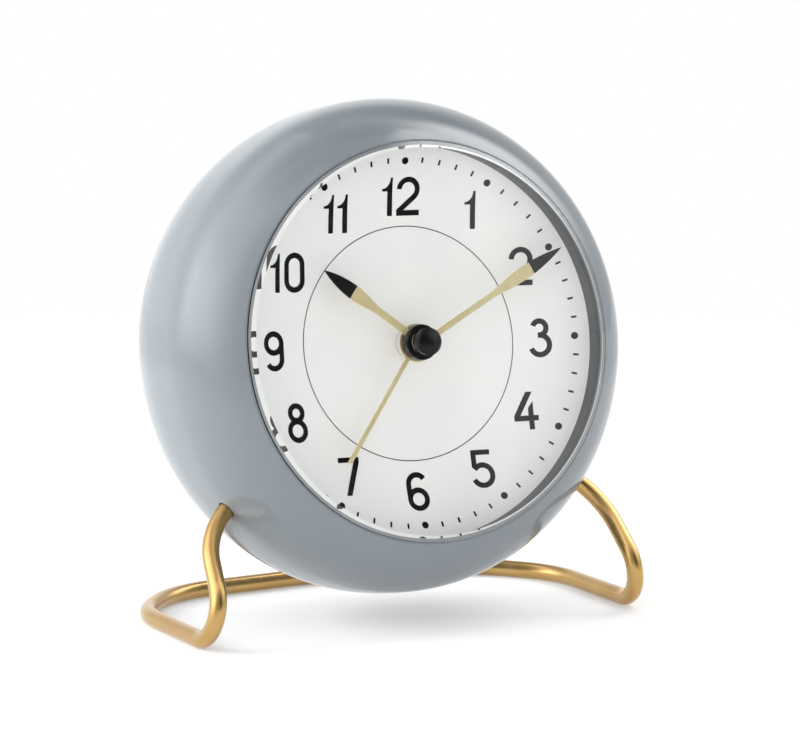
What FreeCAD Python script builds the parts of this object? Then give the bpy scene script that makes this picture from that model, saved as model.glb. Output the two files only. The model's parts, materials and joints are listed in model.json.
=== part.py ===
import FreeCAD, Part
import math
import os
import re

from FreeCAD import Placement, Rotation, Vector

# Table alarm clock: a round lacquered case on a bent wire stand, with a quartz
# movement behind a printed dial. Every piece of the case is drawn in the dial's
# own frame: x to the right, y up the dial, z out of the dial towards the viewer,
# with z = 0 at the minute ring of the dished dial. The case is then leaned back on its stand, and
# the finished clock stands on z = 0 with its face towards minus y.

# Driving sizes in millimetres and degrees: name, value, meaning.
DRIVING = (
    ("case_radius", 54.8, "largest radius of the case"),
    ("girth_depth", 17.35, "depth of the largest radius behind the dial face"),
    ("lean_angle", 9.9, "lean of the case backwards, degrees"),
    ("ground_gap", 5.65, "height of the case above the table"),
    ("case_wall", 2.2, "wall of the case"),
    ("lip_radius", 43.6, "bore of the front lip"),
    ("lip_height", 7.4, "height of the lip above the dial face"),
    ("lip_land", 0.45, "flat on top of the lip"),
    ("front_side_radius", 107.0, "arc of the case side in front of the girth"),
    ("front_side_turn", 4.0, "turn of that arc, degrees"),
    ("back_side_radius", 34.45, "arc of the case side behind the girth"),
    ("back_side_turn", 45.5, "turn of that arc, degrees"),
    ("back_depth", 45.5, "depth of the flat back behind the dial face"),
    ("back_radius", 40.4, "radius of the flat back"),
    ("ledge_radius", 41.0, "bore of the ledge that carries the dial"),
    ("ledge_thick", 2.0, "thickness of that ledge"),
    ("cover_radius", 38.4, "radius of the rear cover"),
    ("cover_thick", 1.8, "thickness of the rear cover"),
    ("flange_thick", 2.2, "flange of the case under the cover"),
    ("opening_radius", 33.7, "bore of that flange"),
    ("cover_screw_circle", 36.1, "radius of the circle of rear screws"),
    ("cover_screw_count", 3, "number of rear screws"),
    ("screw_boss_radius", 2.4, "boss that takes a rear screw"),
    ("screw_boss_height", 4.0, "length of that boss"),
    ("dial_thick", 1.0, "thickness of the dial"),
    ("dial_hole", 4.0, "centre hole of the dial"),
    ("dish_depth", 3.0, "depth of the dial's flat middle below its minute ring"),
    ("dish_middle", 22.0, "radius of that flat middle"),
    ("minute_ring_radius", 39.8, "radius of the minute ring on the dished dial"),
    ("ring_wall", 0.5, "wall of the ring between dial and lens"),
    ("ring_height", 6.9, "height of that ring"),
    ("gasket_thick", 0.2, "thickness of the lens gasket"),
    ("gasket_width", 1.0, "width of the lens gasket"),
    ("lens_edge", 1.0, "upright edge of the lens"),
    ("lens_bevel", 1.0, "bevel round the lens"),
    ("lens_crown", 1.3, "rise of the lens from edge to middle"),
    ("lens_thick", 1.9, "thickness of the lens in the middle"),
    ("loose_fit", 0.2, "radial clearance of parts that drop in"),
    ("running_fit", 0.06, "radial clearance of turning parts"),
    ("press_fit", 0.02, "radial clearance of pressed parts"),
    ("plate_half_width", 28.0, "half the width of the movement plates"),
    ("plate_half_height", 24.0, "half the height of the movement plates"),
    ("plate_corner", 5.0, "corner radius of the movement plates"),
    ("front_plate_thick", 1.6, "thickness of the front movement plate"),
    ("rear_plate_thick", 1.6, "thickness of the rear movement plate"),
    ("train_height", 13.4, "space between the movement plates"),
    ("pillar_radius", 2.2, "pillars between the movement plates"),
    ("pillar_inset", 3.0, "pillar centre from the plate's edges"),
    ("wheel_thick", 1.0, "thickness of the hand-setting wheels"),
    ("train_wheel_thick", 0.8, "thickness of the running train's wheels"),
    ("pinion_length", 1.6, "length of a pinion"),
    ("alarm_drop", 0.4, "alarm wheel below the front plate"),
    ("hour_drop", 2.4, "hour wheel below the front plate"),
    ("minute_drop", 4.6, "intermediate wheel below the front plate"),
    ("centre_drop", 7.0, "centre wheel below the front plate"),
    ("third_drop", 8.8, "third and fifth wheels below the front plate"),
    ("second_drop", 10.6, "second wheel below the front plate"),
    ("stator_drop", 5.4, "stator below the front plate"),
    ("setting_module", 0.4, "tooth module of the hand-setting wheels"),
    ("hour_module", 0.32, "tooth module of the hour wheel"),
    ("train_module", 0.3, "tooth module of the running train"),
    ("tooth_slack", 0.08, "thinning of each tooth for backlash"),
    ("setting_angle", 45.0, "bearing of the setting knobs from the dial's x axis"),
    ("arbor_radius", 0.7, "arbors of the running train"),
    ("pivot_radius", 0.4, "pivots of the running train"),
    ("stud_radius", 0.75, "studs that carry the setting wheels"),
    ("alarm_pipe_radius", 3.3, "pipe of the alarm wheel"),
    ("hour_pipe_radius", 2.65, "pipe of the hour wheel"),
    ("minute_arbor_radius", 1.65, "arbor of the minute hand"),
    ("arbor_tip_radius", 1.2, "tip of the minute arbor"),
    ("arbor_tail_radius", 1.0, "tail of the minute arbor"),
    ("hand_thick", 0.4, "thickness of the hands"),
    ("alarm_hand_height", 0.5, "alarm hand above the dial"),
    ("hour_hub_height", 1.4, "hour hub above the dial"),
    ("hour_hub_length", 2.2, "length of the hour hub"),
    ("hour_hub_radius", 3.9, "radius of the hour hub"),
    ("hour_hand_height", 2.1, "hour hand above the dial"),
    ("minute_hand_height", 4.2, "minute hand above the dial"),
    ("cap_radius", 3.0, "radius of the centre cap"),
    ("cap_length", 2.5, "length of the cap's cylinder and chamfer"),
    ("cap_chamfer", 0.44, "chamfer of the cap"),
    ("cap_point", 0.8, "height of the cap's cone"),
    ("hour_hand_reach", 27.6, "length of the hour hand"),
    ("minute_hand_reach", 40.2, "length of the minute hand"),
    ("alarm_hand_reach", 30.9, "length of the alarm hand"),
    ("hour_hand_width", 3.2, "width of the hour hand"),
    ("minute_hand_width", 2.9, "width of the minute hand"),
    ("hour_stem_width", 1.6, "width of the hour hand's stem"),
    ("minute_stem_width", 1.3, "width of the minute hand's stem"),
    ("alarm_hand_width", 0.9, "width of the alarm hand"),
    ("alarm_hub_radius", 4.2, "hub of the alarm hand"),
    ("minute_hub_radius", 2.85, "hub of the minute hand"),
    ("hour_bearing", 307.8, "hour hand clockwise from twelve, degrees"),
    ("minute_bearing", 62.2, "minute hand clockwise from twelve, degrees"),
    ("alarm_bearing", 216.3, "alarm hand clockwise from twelve, degrees"),
    ("board_gap", 1.4, "circuit board behind the rear plate"),
    ("board_thick", 1.2, "thickness of the circuit board"),
    ("board_half_width", 26.8, "half the width of the circuit board"),
    ("board_bottom", 23.0, "circuit board below the dial centre"),
    ("board_past_switch", 3.5, "circuit board above the middle of the snooze switch"),
    ("cell_radius", 7.1, "radius of the battery cell"),
    ("cell_length", 49.0, "length of the battery cell's can"),
    ("cell_drop", 10.0, "battery axis below the dial centre"),
    ("cell_nub", 1.2, "length of the cell's positive nub"),
    ("bay_clear", 0.5, "room round the cell in its bay"),
    ("bay_end", 1.5, "room at each end of the cell for its contacts"),
    ("bay_wall", 0.9, "wall of the battery bay"),
    ("door_gap", 0.15, "gap round the battery door"),
    ("door_thick", 1.6, "thickness of the battery door"),
    ("door_lap", 0.5, "lap of the door on the bay's wall"),
    ("knob_radius", 6.0, "radius of a setting knob"),
    ("knob_height", 3.6, "height of a setting knob"),
    ("knob_gap", 0.5, "setting knob off the rear cover"),
    ("knob_flutes", 12, "grip flutes round a knob"),
    ("flute_radius", 0.8, "radius of a grip flute"),
    ("stem_radius", 1.5, "stem of a setting knob"),
    ("slider_width", 4.0, "width of the alarm switch's thumb piece"),
    ("slider_height", 2.4, "height of that thumb piece"),
    ("slider_rise", 1.5, "thumb piece above the rear cover"),
    ("slider_travel", 3.0, "travel of the alarm switch"),
    ("slider_plate_thick", 1.2, "plate of the alarm switch inside the cover"),
    ("switch_body_depth", 4.0, "depth of the alarm switch's body"),
    ("snooze_width", 18.0, "width of the snooze button"),
    ("snooze_height", 6.4, "height of the snooze button"),
    ("snooze_rise", 1.6, "snooze button above the rear cover"),
    ("snooze_travel", 1.0, "travel of the snooze button"),
    ("snooze_room", 7.2, "snooze button's middle inside the rear opening"),
    ("snooze_lap", 1.2, "lap of the button's flange behind the cover"),
    ("snooze_stem_radius", 1.6, "stem of the snooze button"),
    ("snooze_switch_height", 3.4, "height of the switch under the button's stem"),
    ("wire_radius", 1.9, "radius of the stand's rod"),
    ("wire_end_inset", 22.8, "end of the rod inside the case's largest radius"),
    ("wire_end_back", 5.87, "end of the rod behind the dial centre"),
    ("wire_end_rise", 26.95, "end of the rod above the case's lowest radius"),
    ("knee_inset", 5.97, "knee of the rod inside the case's largest radius"),
    ("knee_back", 3.81, "knee of the rod behind the dial centre"),
    ("knee_rise", 17.78, "knee of the rod above the case's lowest radius"),
    ("foot_inset", 2.21, "foot of the rod inside the case's largest radius"),
    ("foot_front", 18.29, "foot of the rod in front of the dial centre"),
    ("side_inset", 2.44, "rear corner of the rod inside the largest radius"),
    ("side_back", 28.53, "rear corner of the rod behind the dial centre"),
    ("heel_inset", 17.11, "heel of the rod inside the largest radius"),
    ("heel_back", 46.08, "heel of the rod behind the dial centre"),
    ("rear_back", 49.91, "middle of the rod's rear run behind the dial centre"),
    ("knee_bend", 17.7, "bend radius at the knee"),
    ("foot_bend", 7.35, "bend radius at the foot"),
    ("side_bend", 22.6, "bend radius at the rear corner"),
    ("heel_bend", 28.5, "bend radius at the heel"),
    ("rear_bend", 80.0, "bend radius in the middle of the rear run"),
    ("socket_wall", 1.8, "wall of the sleeves that hold the rod"),
    ("socket_past_end", 1.2, "sleeve past the end of the rod"),
)

doc = FreeCAD.newDocument("TableClock")
sheet = doc.addObject("Spreadsheet::Sheet", "Sizes")
for row, (alias, number, meaning) in enumerate(DRIVING, start=1):
    sheet.set("A%d" % row, meaning)
    sheet.set("B%d" % row, str(number))
    sheet.setAlias("B%d" % row, alias)
doc.recompute()


class SheetReader:
    """Reads a driving size from the sheet by its name."""

    def __getattr__(self, alias):
        return float(getattr(sheet, alias))


mm = SheetReader()
nodes = []


def bound(formula):
    """Turns size names in a formula into references to the sheet."""
    return re.sub(r"[a-z_]+", lambda word: "Sizes." + word.group(0), formula)


def keep(part, placement):
    """Places a finished sub-part and lists it for writing."""
    part.Placement = placement.multiply(part.Placement)
    nodes.append(part)
    return part


# Sketches and features

def new_body(label):
    body = doc.addObject("PartDesign::Body", label)
    body.Label = label
    return body


def sketch_on(body, role, height=None):
    sketch = body.newObject("Sketcher::SketchObject", body.Label + "_sketch")
    plane = next(item for item in body.Origin.OriginFeatures if item.Role == role)
    sketch.AttachmentSupport = (plane, [""])
    sketch.MapMode = "FlatFace"
    if isinstance(height, str):
        sketch.setExpression("AttachmentOffset.Base.z", bound(height))
    elif height:
        sketch.AttachmentOffset = Placement(Vector(0, 0, height), Rotation())
    return sketch


def draw(sketch, path):
    """Draws a closed path of points (x, y) and arcs (mid x, mid y, x, y)."""
    here = path[-1][-2:]
    for step in path:
        start = Vector(here[0], here[1], 0)
        end = Vector(step[-2], step[-1], 0)
        if len(step) == 4:
            sketch.addGeometry(Part.ArcOfCircle(start, Vector(step[0], step[1], 0), end), False)
        else:
            sketch.addGeometry(Part.LineSegment(start, end), False)
        here = step[-2:]


def draw_circles(sketch, circles):
    for x, y, radius in circles:
        sketch.addGeometry(Part.Circle(Vector(x, y, 0), Vector(0, 0, 1), radius), False)


def revolved(label, path):
    """A body turned about the z axis from a closed section in (radius, z)."""
    body = new_body(label)
    section = sketch_on(body, "XZ_Plane")
    draw(section, path)
    turn = body.newObject("PartDesign::Revolution", label + "_turn")
    turn.Profile = section
    turn.ReferenceAxis = (section, ["V_Axis"])
    turn.Angle = 360
    return body


def pad(body, height, length, path=None, circles=()):
    """Adds a prism that rises from a height by a length, each a formula or a number."""
    sketch = sketch_on(body, "XY_Plane", height)
    if path:
        draw(sketch, path)
    draw_circles(sketch, circles)
    feature = body.newObject("PartDesign::Pad", body.Label + "_pad")
    feature.Profile = sketch
    set_length(feature, length)
    doc.recompute()
    return feature


def pocket(body, height, depth, path=None, circles=()):
    """Cuts a prism that goes down from a height by a depth and checks that it cut."""
    doc.recompute()
    before = body.Shape.Volume
    sketch = sketch_on(body, "XY_Plane", height)
    if path:
        draw(sketch, path)
    draw_circles(sketch, circles)
    feature = body.newObject("PartDesign::Pocket", body.Label + "_pocket")
    feature.Profile = sketch
    set_length(feature, depth)
    doc.recompute()
    if body.Shape.Volume > before - 1e-6:
        raise RuntimeError("a pocket of %s cuts nothing" % body.Label)
    return feature


def set_length(feature, length):
    if isinstance(length, str):
        feature.setExpression("Length", bound(length))
    else:
        feature.Length = length


def rounded_box(x_low, y_low, x_high, y_high, corner):
    """Closed path of a rectangle with rounded corners."""
    inset = corner * (1 - math.sqrt(0.5))
    return [
        (x_high - corner, y_low),
        (x_high - inset, y_low + inset, x_high, y_low + corner),
        (x_high, y_high - corner),
        (x_high - inset, y_high - inset, x_high - corner, y_high),
        (x_low + corner, y_high),
        (x_low + inset, y_high - inset, x_low, y_high - corner),
        (x_low, y_low + corner),
        (x_low + inset, y_low + inset, x_low + corner, y_low),
    ]


def plain_box(x_low, y_low, x_high, y_high):
    return [(x_high, y_low), (x_high, y_high), (x_low, y_high), (x_low, y_low)]


def rod(radius, low, high, x=0.0, y=0.0):
    """A round rod along z."""
    return Part.makeCylinder(radius, high - low, Vector(x, y, low))


def coded(label, shape):
    """A sub-part whose shape is worked out in code."""
    part = doc.addObject("Part::Feature", label)
    part.Label = label
    part.Shape = shape
    return part


def fused(shapes):
    whole = shapes[0].fuse(shapes[1:]) if len(shapes) > 1 else shapes[0]
    return whole.removeSplitter()


# Toothed wheels

PRESSURE_ANGLE = math.radians(25)
ADDENDUM = 0.8
DEDENDUM = 1.15


def involute(angle):
    return math.tan(angle) - angle


def gear_points(teeth, module, phase):
    """Outline of a gear with involute flanks, one tooth centred on the phase angle."""
    pitch = teeth * module / 2
    base = pitch * math.cos(PRESSURE_ANGLE)
    tip = pitch + ADDENDUM * module
    root = pitch - DEDENDUM * module
    half = math.pi / (2 * teeth) - mm.tooth_slack / (2 * pitch)

    def half_angle(radius):
        return half + involute(PRESSURE_ANGLE) - involute(math.acos(min(1.0, base / radius)))

    foot = max(base, root)
    flank = [(foot, half_angle(foot)), (tip, half_angle(tip))]
    if root < base:
        flank.insert(0, (root, half_angle(base)))
    points = []
    for tooth in range(teeth):
        middle = phase + 2 * math.pi * tooth / teeth
        for radius, angle in flank:
            points.append(Vector(radius * math.cos(middle - angle), radius * math.sin(middle - angle), 0))
        for radius, angle in reversed(flank):
            points.append(Vector(radius * math.cos(middle + angle), radius * math.sin(middle + angle), 0))
    return points


def gear(teeth, module, phase, low, high):
    points = gear_points(teeth, module, phase)
    for point in points:
        point.z = low
    outline = Part.makePolygon(points + [points[0]])
    return Part.Face(outline).extrude(Vector(0, 0, high - low))


def mesh_phase(centre, phase, teeth, other, other_teeth):
    """Phase of the other wheel whose gap faces a tooth of the first."""
    bearing = math.atan2(other.y - centre.y, other.x - centre.x)
    place = (bearing - phase) * teeth / (2 * math.pi)
    return bearing + math.pi - 2 * math.pi * (0.5 - place) / other_teeth


def pair_distance(module, teeth, other_teeth):
    return module * (teeth + other_teeth) / 2


# Tooth counts

CANNON_TEETH = 12
INTERMEDIATE_TEETH = 36
INTERMEDIATE_PINION_TEETH = 12
HOUR_TEETH = 48
SETTING_PINION_TEETH = 12
ALARM_TEETH = 36
IDLER_TEETH = 12
ALARM_KNOB_TEETH = 36
TRAIN_PINION_TEETH = 8
CENTRE_TEETH = 64
THIRD_TEETH = 60
SECOND_TEETH = 48
FIFTH_TEETH = 40

# Where the arbors stand, seen from the front

THIRD_BEARING = math.radians(210)
SECOND_BEARING = math.radians(-50)
FIFTH_BEARING = math.radians(10)
ROTOR_BEARING = math.radians(20)


def step_from(centre, distance, bearing):
    return centre + Vector(distance * math.cos(bearing), distance * math.sin(bearing), 0)


setting_bearing = math.radians(mm.setting_angle)
setting_distance = pair_distance(mm.setting_module, CANNON_TEETH, INTERMEDIATE_TEETH)
centre_at = Vector(0, 0, 0)
intermediate_at = step_from(centre_at, setting_distance, setting_bearing)
time_knob_at = step_from(intermediate_at, setting_distance, setting_bearing)
idler_at = step_from(centre_at, setting_distance, math.pi - setting_bearing)
alarm_knob_at = step_from(idler_at, setting_distance, math.pi - setting_bearing)


def train_step(centre, wheel_teeth, bearing):
    """Where a pinion stands that a train wheel drives, on a bearing from that wheel."""
    return step_from(centre, pair_distance(mm.train_module, TRAIN_PINION_TEETH, wheel_teeth), bearing)


third_at = train_step(centre_at, CENTRE_TEETH, THIRD_BEARING)
second_at = train_step(third_at, THIRD_TEETH, SECOND_BEARING)
fifth_at = train_step(second_at, SECOND_TEETH, FIFTH_BEARING)
rotor_at = train_step(fifth_at, FIFTH_TEETH, ROTOR_BEARING)

# Heights along the clock's axis

dial_back = -mm.dish_depth - mm.dial_thick
front_plate_back = dial_back - mm.front_plate_thick
rear_plate_front = front_plate_back - mm.train_height
rear_plate_back = rear_plate_front - mm.rear_plate_thick
board_front = rear_plate_back - mm.board_gap
board_back = board_front - mm.board_thick
cover_back = -mm.back_depth
cover_front = cover_back + mm.cover_thick
pivot_front = front_plate_back + 0.5 * mm.front_plate_thick
pivot_rear = rear_plate_front - 0.75 * mm.rear_plate_thick


def level(drop):
    """Height of a wheel's front face, by its drop below the front plate."""
    return front_plate_back - drop


# The case leans back about the dial's centre, which stands this high

lean = math.radians(mm.lean_angle)
axis_height = mm.ground_gap + mm.case_radius * math.cos(lean) + mm.girth_depth * math.sin(lean)
leaned = Placement(Vector(0, 0, 0), Rotation(Vector(1, 0, 0), 90 - mm.lean_angle))
upright = Placement()


def in_case(at=Vector(0, 0, 0), turn=0.0):
    """Placement of a piece on its own axis inside the leaning case."""
    return leaned.multiply(Placement(at, Rotation(Vector(0, 0, 1), turn)))


def on_dial(bearing):
    """Placement of a hand that points clockwise from twelve by a bearing."""
    return in_case(turn=90 - bearing)


# Case

def flat(*points):
    """Coordinates of one or two section points as a path step."""
    step = ()
    for point in points:
        step += (point.x, point.y)
    return step


class CaseSide:
    """Two tangent arcs from the girth to an end point, on one side of the girth."""

    def __init__(self, side_radius, side_turn, end, sign):
        self.sign = sign
        self.girth = Vector(mm.case_radius, -mm.girth_depth, 0)
        self.outward = Vector(math.cos(side_turn), sign * math.sin(side_turn), 0)
        self.half_turn = Vector(math.cos(side_turn / 2), sign * math.sin(side_turn / 2), 0)
        self.side_centre = self.girth - Vector(side_radius, 0, 0)
        self.side_radius = side_radius
        joint = self.side_centre + self.outward * side_radius
        gap = joint - end
        self.end_radius = gap.dot(gap) / (2 * gap.dot(self.outward))
        self.end_centre = joint - self.outward * self.end_radius
        self.bulge = math.copysign(1.0, self.end_radius)

    def joint(self, inset):
        return self.side_centre + self.outward * (self.side_radius - inset)

    def side_middle(self, inset):
        return self.side_centre + self.half_turn * (self.side_radius - inset)

    def point_at(self, height, inset):
        """Point of the side at a height, set in from the outside."""
        centre, radius, bulge = self.end_centre, self.end_radius, self.bulge
        if self.sign * (height - self.joint(inset).y) <= 0:
            centre, radius, bulge = self.side_centre, self.side_radius, 1.0
        rise = height - centre.y
        return Vector(centre.x + bulge * math.sqrt((radius - inset) ** 2 - rise ** 2), height, 0)

    def end_middle(self, end, inset):
        """Point half way round the second arc, from the joint to an end point."""
        chord = (self.joint(inset) + end) * 0.5 - self.end_centre
        return self.end_centre + chord.normalize() * abs(self.end_radius - inset)

    def side_middle_to(self, end, inset):
        """Point half way round the first arc, from the girth to an end point."""
        girth = self.girth - Vector(inset, 0, 0)
        chord = (girth + end) * 0.5 - self.side_centre
        return self.side_centre + chord.normalize() * (self.side_radius - inset)

    def steps_from(self, height, inset):
        """Path steps from a height on this side to the girth."""
        start = self.point_at(height, inset)
        girth = self.girth - Vector(inset, 0, 0)
        joint = self.joint(inset)
        if self.sign * (height - joint.y) <= 0:
            return [flat(start), flat(self.side_middle_to(start, inset), girth)]
        return [
            flat(start),
            flat(self.end_middle(start, inset), joint),
            flat(self.side_middle(inset), girth),
        ]

    def steps_to(self, height, inset):
        """Path steps from the girth to a height on this side."""
        end = self.point_at(height, inset)
        joint = self.joint(inset)
        if self.sign * (height - joint.y) <= 0:
            return [flat(self.side_middle_to(end, inset), end)]
        return [flat(self.side_middle(inset), joint), flat(self.end_middle(end, inset), end)]


lip_end = Vector(mm.lip_radius + mm.lip_land, mm.lip_height, 0)
back_end = Vector(mm.back_radius, -mm.back_depth, 0)
front_side = CaseSide(mm.front_side_radius, math.radians(mm.front_side_turn), lip_end, 1)
back_side = CaseSide(mm.back_side_radius, math.radians(mm.back_side_turn), back_end, -1)
flange_front = cover_front + mm.flange_thick
ledge_back = -mm.dial_thick - mm.ledge_thick


def inner_path(inset):
    """Inner wall of the case from its flange forward to its ledge."""
    return back_side.steps_from(flange_front, inset) + front_side.steps_to(ledge_back, inset)


recess_radius = mm.cover_radius + mm.loose_fit
case_path = [
    (mm.lip_radius, mm.lip_height),
    flat(lip_end),
    flat(front_side.end_middle(lip_end, 0), front_side.joint(0)),
    flat(front_side.side_middle(0), front_side.girth),
    flat(back_side.side_middle(0), back_side.joint(0)),
    flat(back_side.end_middle(back_end, 0), back_end),
    (recess_radius, cover_back),
    (recess_radius, cover_front),
    (mm.opening_radius, cover_front),
    (mm.opening_radius, flange_front),
] + inner_path(mm.case_wall) + [
    (mm.ledge_radius, ledge_back),
    (mm.ledge_radius, -mm.dial_thick),
    (mm.lip_radius, -mm.dial_thick),
]

screw_places = []
for number in range(int(mm.cover_screw_count)):
    bearing = math.radians(90) + 2 * math.pi * number / mm.cover_screw_count
    circle = mm.cover_screw_circle
    screw_places.append((circle * math.cos(bearing), circle * math.sin(bearing)))
SCREW_RADIUS = 0.9
SCREW_LENGTH = 6.0
SCREW_HEAD_RADIUS = 1.9
SCREW_HEAD_HEIGHT = 1.0

case_blank = revolved("case_blank", case_path)
pad(case_blank, flange_front, "screw_boss_height",
    circles=[(x, y, mm.screw_boss_radius) for x, y in screw_places])
pocket(case_blank, flange_front + mm.screw_boss_height, "screw_boss_height + flange_thick",
       circles=[(x, y, SCREW_RADIUS + mm.press_fit) for x, y in screw_places])
case_blank.Placement = leaned

# Stand: one rod, its middle run on the table behind the clock, both ends in the case

case_half = mm.case_radius
floor_run = -axis_height + mm.wire_radius
right_points = [
    Vector(case_half - mm.wire_end_inset, mm.wire_end_back, mm.wire_end_rise - case_half),
    Vector(case_half - mm.knee_inset, mm.knee_back, mm.knee_rise - case_half),
    Vector(case_half - mm.foot_inset, -mm.foot_front, floor_run),
    Vector(case_half - mm.side_inset, mm.side_back, floor_run),
    Vector(case_half - mm.heel_inset, mm.heel_back, floor_run),
]
rear_point = Vector(0, mm.rear_back, floor_run)
right_bends = [mm.knee_bend, mm.foot_bend, mm.side_bend, mm.heel_bend]


def mirrored(point):
    return Vector(-point.x, point.y, point.z)


def bent_path(points, bends):
    """Wire of straight runs joined by tangent arcs."""
    edges = []
    start = points[0]
    for before, corner, after, bend in zip(points, points[1:], points[2:], bends):
        back = (before - corner).normalize()
        ahead = (after - corner).normalize()
        half = back.getAngle(ahead) / 2
        reach = bend / math.tan(half)
        entry = corner + back * reach
        leave = corner + ahead * reach
        inward = (back + ahead).normalize()
        middle = corner + inward * (bend / math.sin(half) - bend)
        edges.append(Part.LineSegment(start, entry).toShape())
        edges.append(Part.Arc(entry, middle, leave).toShape())
        start = leave
    edges.append(Part.LineSegment(start, points[-1]).toShape())
    return Part.Wire(edges)


wire_points = right_points + [rear_point] + [mirrored(point) for point in reversed(right_points)]
wire_bends = right_bends + [mm.rear_bend] + right_bends[::-1]
wire_route = bent_path(wire_points, wire_bends)
end_run = (right_points[1] - right_points[0]).normalize()


def rod_of(radius):
    """A round rod along the stand's route."""
    section = Part.Wire(Part.makeCircle(radius, right_points[0], end_run))
    return wire_route.makePipeShell([section], True, False)


stand_wire = coded("stand_wire", rod_of(mm.wire_radius))


def section_solid(path):
    """Solid turned about the z axis from a closed section in (radius, z)."""
    edges = []
    here = path[-1][-2:]
    for step in path:
        start = Vector(here[0], 0, here[1])
        end = Vector(step[-2], 0, step[-1])
        if len(step) == 4:
            edges.append(Part.Arc(start, Vector(step[0], 0, step[1]), end).toShape())
        else:
            edges.append(Part.LineSegment(start, end).toShape())
        here = step[-2:]
    return Part.Face(Part.Wire(edges)).revolve(Vector(0, 0, 0), Vector(0, 0, 1), 360)


# Case with the holes for the rod

rod_holes = coded("rod_holes", rod_of(mm.wire_radius + mm.loose_fit))
case_shell = doc.addObject("Part::Cut", "case_shell")
case_shell.Base = case_blank
case_shell.Tool = rod_holes
keep(case_shell, upright)
keep(stand_wire, upright)

# Sleeves that hold the rod's ends, trimmed to the inside of the case

inside = inner_path(mm.case_wall + mm.press_fit)
cavity = section_solid([(0, flange_front)] + inside + [(0, ledge_back)])
cavity.Placement = leaned
pressed_rod = rod_of(mm.wire_radius + mm.press_fit)
sleeve_length = mm.wire_end_inset + mm.socket_past_end
sleeves = []
for side in (1, -1):
    run = Vector(side * end_run.x, end_run.y, end_run.z)
    rod_end = Vector(side * right_points[0].x, right_points[0].y, right_points[0].z)
    sleeve = Part.makeCylinder(
        mm.wire_radius + mm.socket_wall, sleeve_length, rod_end - run * mm.socket_past_end, run)
    sleeves.append(sleeve.common(cavity).cut(pressed_rod).Solids[0])
keep(coded("stand_sockets", Part.makeCompound(sleeves)), upright)

# Dial, ring, gasket and lens, dropped in from the front

DIAL_BOSS_RADIUS = 2.0
DIAL_BOSS_PLACES = ((-24.0, 2.0), (24.0, 2.0), (0.0, -20.5))
DIAL_SCREW_RADIUS = 0.8
DIAL_SCREW_HEAD = 2.6
DIAL_SCREW_HEAD_HEIGHT = 1.0
dial_radius = mm.lip_radius - mm.loose_fit
boss_end = front_plate_back + mm.press_fit

ring_inside = dial_radius - mm.ring_wall

# The dial is flat in its middle and curves up like a saucer past the minute ring

dish_run = mm.minute_ring_radius - mm.dish_middle
dish_arc = (dish_run ** 2 + mm.dish_depth ** 2) / (2 * mm.dish_depth)
dish_centre = dish_arc - mm.dish_depth
under_arc = dish_arc + mm.dial_thick
dish_turn = math.asin((ring_inside - mm.dish_middle) / dish_arc)
under_turn = math.acos((dish_centre + mm.dial_thick) / under_arc)


def dish_point(arc, turn):
    """Radius and height on an arc about the dish's centre, by its turn from straight down."""
    return mm.dish_middle + arc * math.sin(turn), dish_centre - arc * math.cos(turn)


ring_foot = dish_point(dish_arc, dish_turn)[1]
dish = section_solid([
    (mm.dial_hole, dial_back),
    (mm.dish_middle, dial_back),
    dish_point(under_arc, under_turn / 2) + dish_point(under_arc, under_turn),
    (dial_radius, -mm.dial_thick),
    (dial_radius, ring_foot),
    (ring_inside, ring_foot),
    dish_point(dish_arc, dish_turn / 2) + (mm.dish_middle, -mm.dish_depth),
    (mm.dial_hole, -mm.dish_depth),
])
SEAM_TURN = 45.0  # degrees, keeps the dish's own seam clear of the bosses
dish.rotate(Vector(0, 0, 0), Vector(0, 0, 1), SEAM_TURN)
boss_root = dial_back + mm.dial_thick / 2
dial_bosses = [rod(DIAL_BOSS_RADIUS, boss_end, boss_root, x, y) for x, y in DIAL_BOSS_PLACES]
boss_bores = [rod(DIAL_SCREW_RADIUS + mm.press_fit, boss_end, dial_back, x, y) for x, y in DIAL_BOSS_PLACES]
keep(coded("dial", fused([dish] + dial_bosses).cut(boss_bores)), in_case())

keep(revolved("dial_ring", [
    (ring_inside, ring_foot), (dial_radius, ring_foot),
    (dial_radius, mm.ring_height), (ring_inside, mm.ring_height),
]), in_case())

lens_foot = mm.ring_height + mm.gasket_thick
keep(revolved("lens_gasket", [
    (dial_radius - mm.gasket_width, mm.ring_height), (dial_radius, mm.ring_height),
    (dial_radius, lens_foot), (dial_radius - mm.gasket_width, lens_foot),
]), in_case())

lens_radius = dial_radius - mm.press_fit
lens_top_edge = lens_foot + mm.lens_edge + mm.lens_bevel
lens_crown_top = lens_top_edge + mm.lens_crown
lens_flat = lens_radius - mm.lens_bevel
lens_seat = lens_radius - mm.gasket_width
lens_hollow_top = lens_crown_top - mm.lens_thick


def dome(radius, edge, top):
    """Height of a shallow dome half way out, from its edge and its top."""
    sphere = (radius ** 2 + (top - edge) ** 2) / (2 * (top - edge))
    return top - sphere + math.sqrt(sphere ** 2 - (radius / 2) ** 2)


keep(revolved("lens", [
    (0, lens_hollow_top),
    (lens_seat / 2, dome(lens_seat, lens_foot, lens_hollow_top), lens_seat, lens_foot),
    (lens_radius, lens_foot),
    (lens_radius, lens_foot + mm.lens_edge),
    (lens_flat, lens_top_edge),
    (lens_flat / 2, dome(lens_flat, lens_top_edge, lens_crown_top), 0, lens_crown_top),
]), in_case())

dial_screws = []
for x, y in DIAL_BOSS_PLACES:
    head = rod(DIAL_SCREW_HEAD, front_plate_back - DIAL_SCREW_HEAD_HEIGHT, front_plate_back, x, y)
    shank = rod(DIAL_SCREW_RADIUS, front_plate_back, dial_back, x, y)
    dial_screws.append(head.fuse(shank).removeSplitter())
keep(coded("dial_screws", Part.makeCompound(dial_screws)), in_case())

# Movement plates

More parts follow.
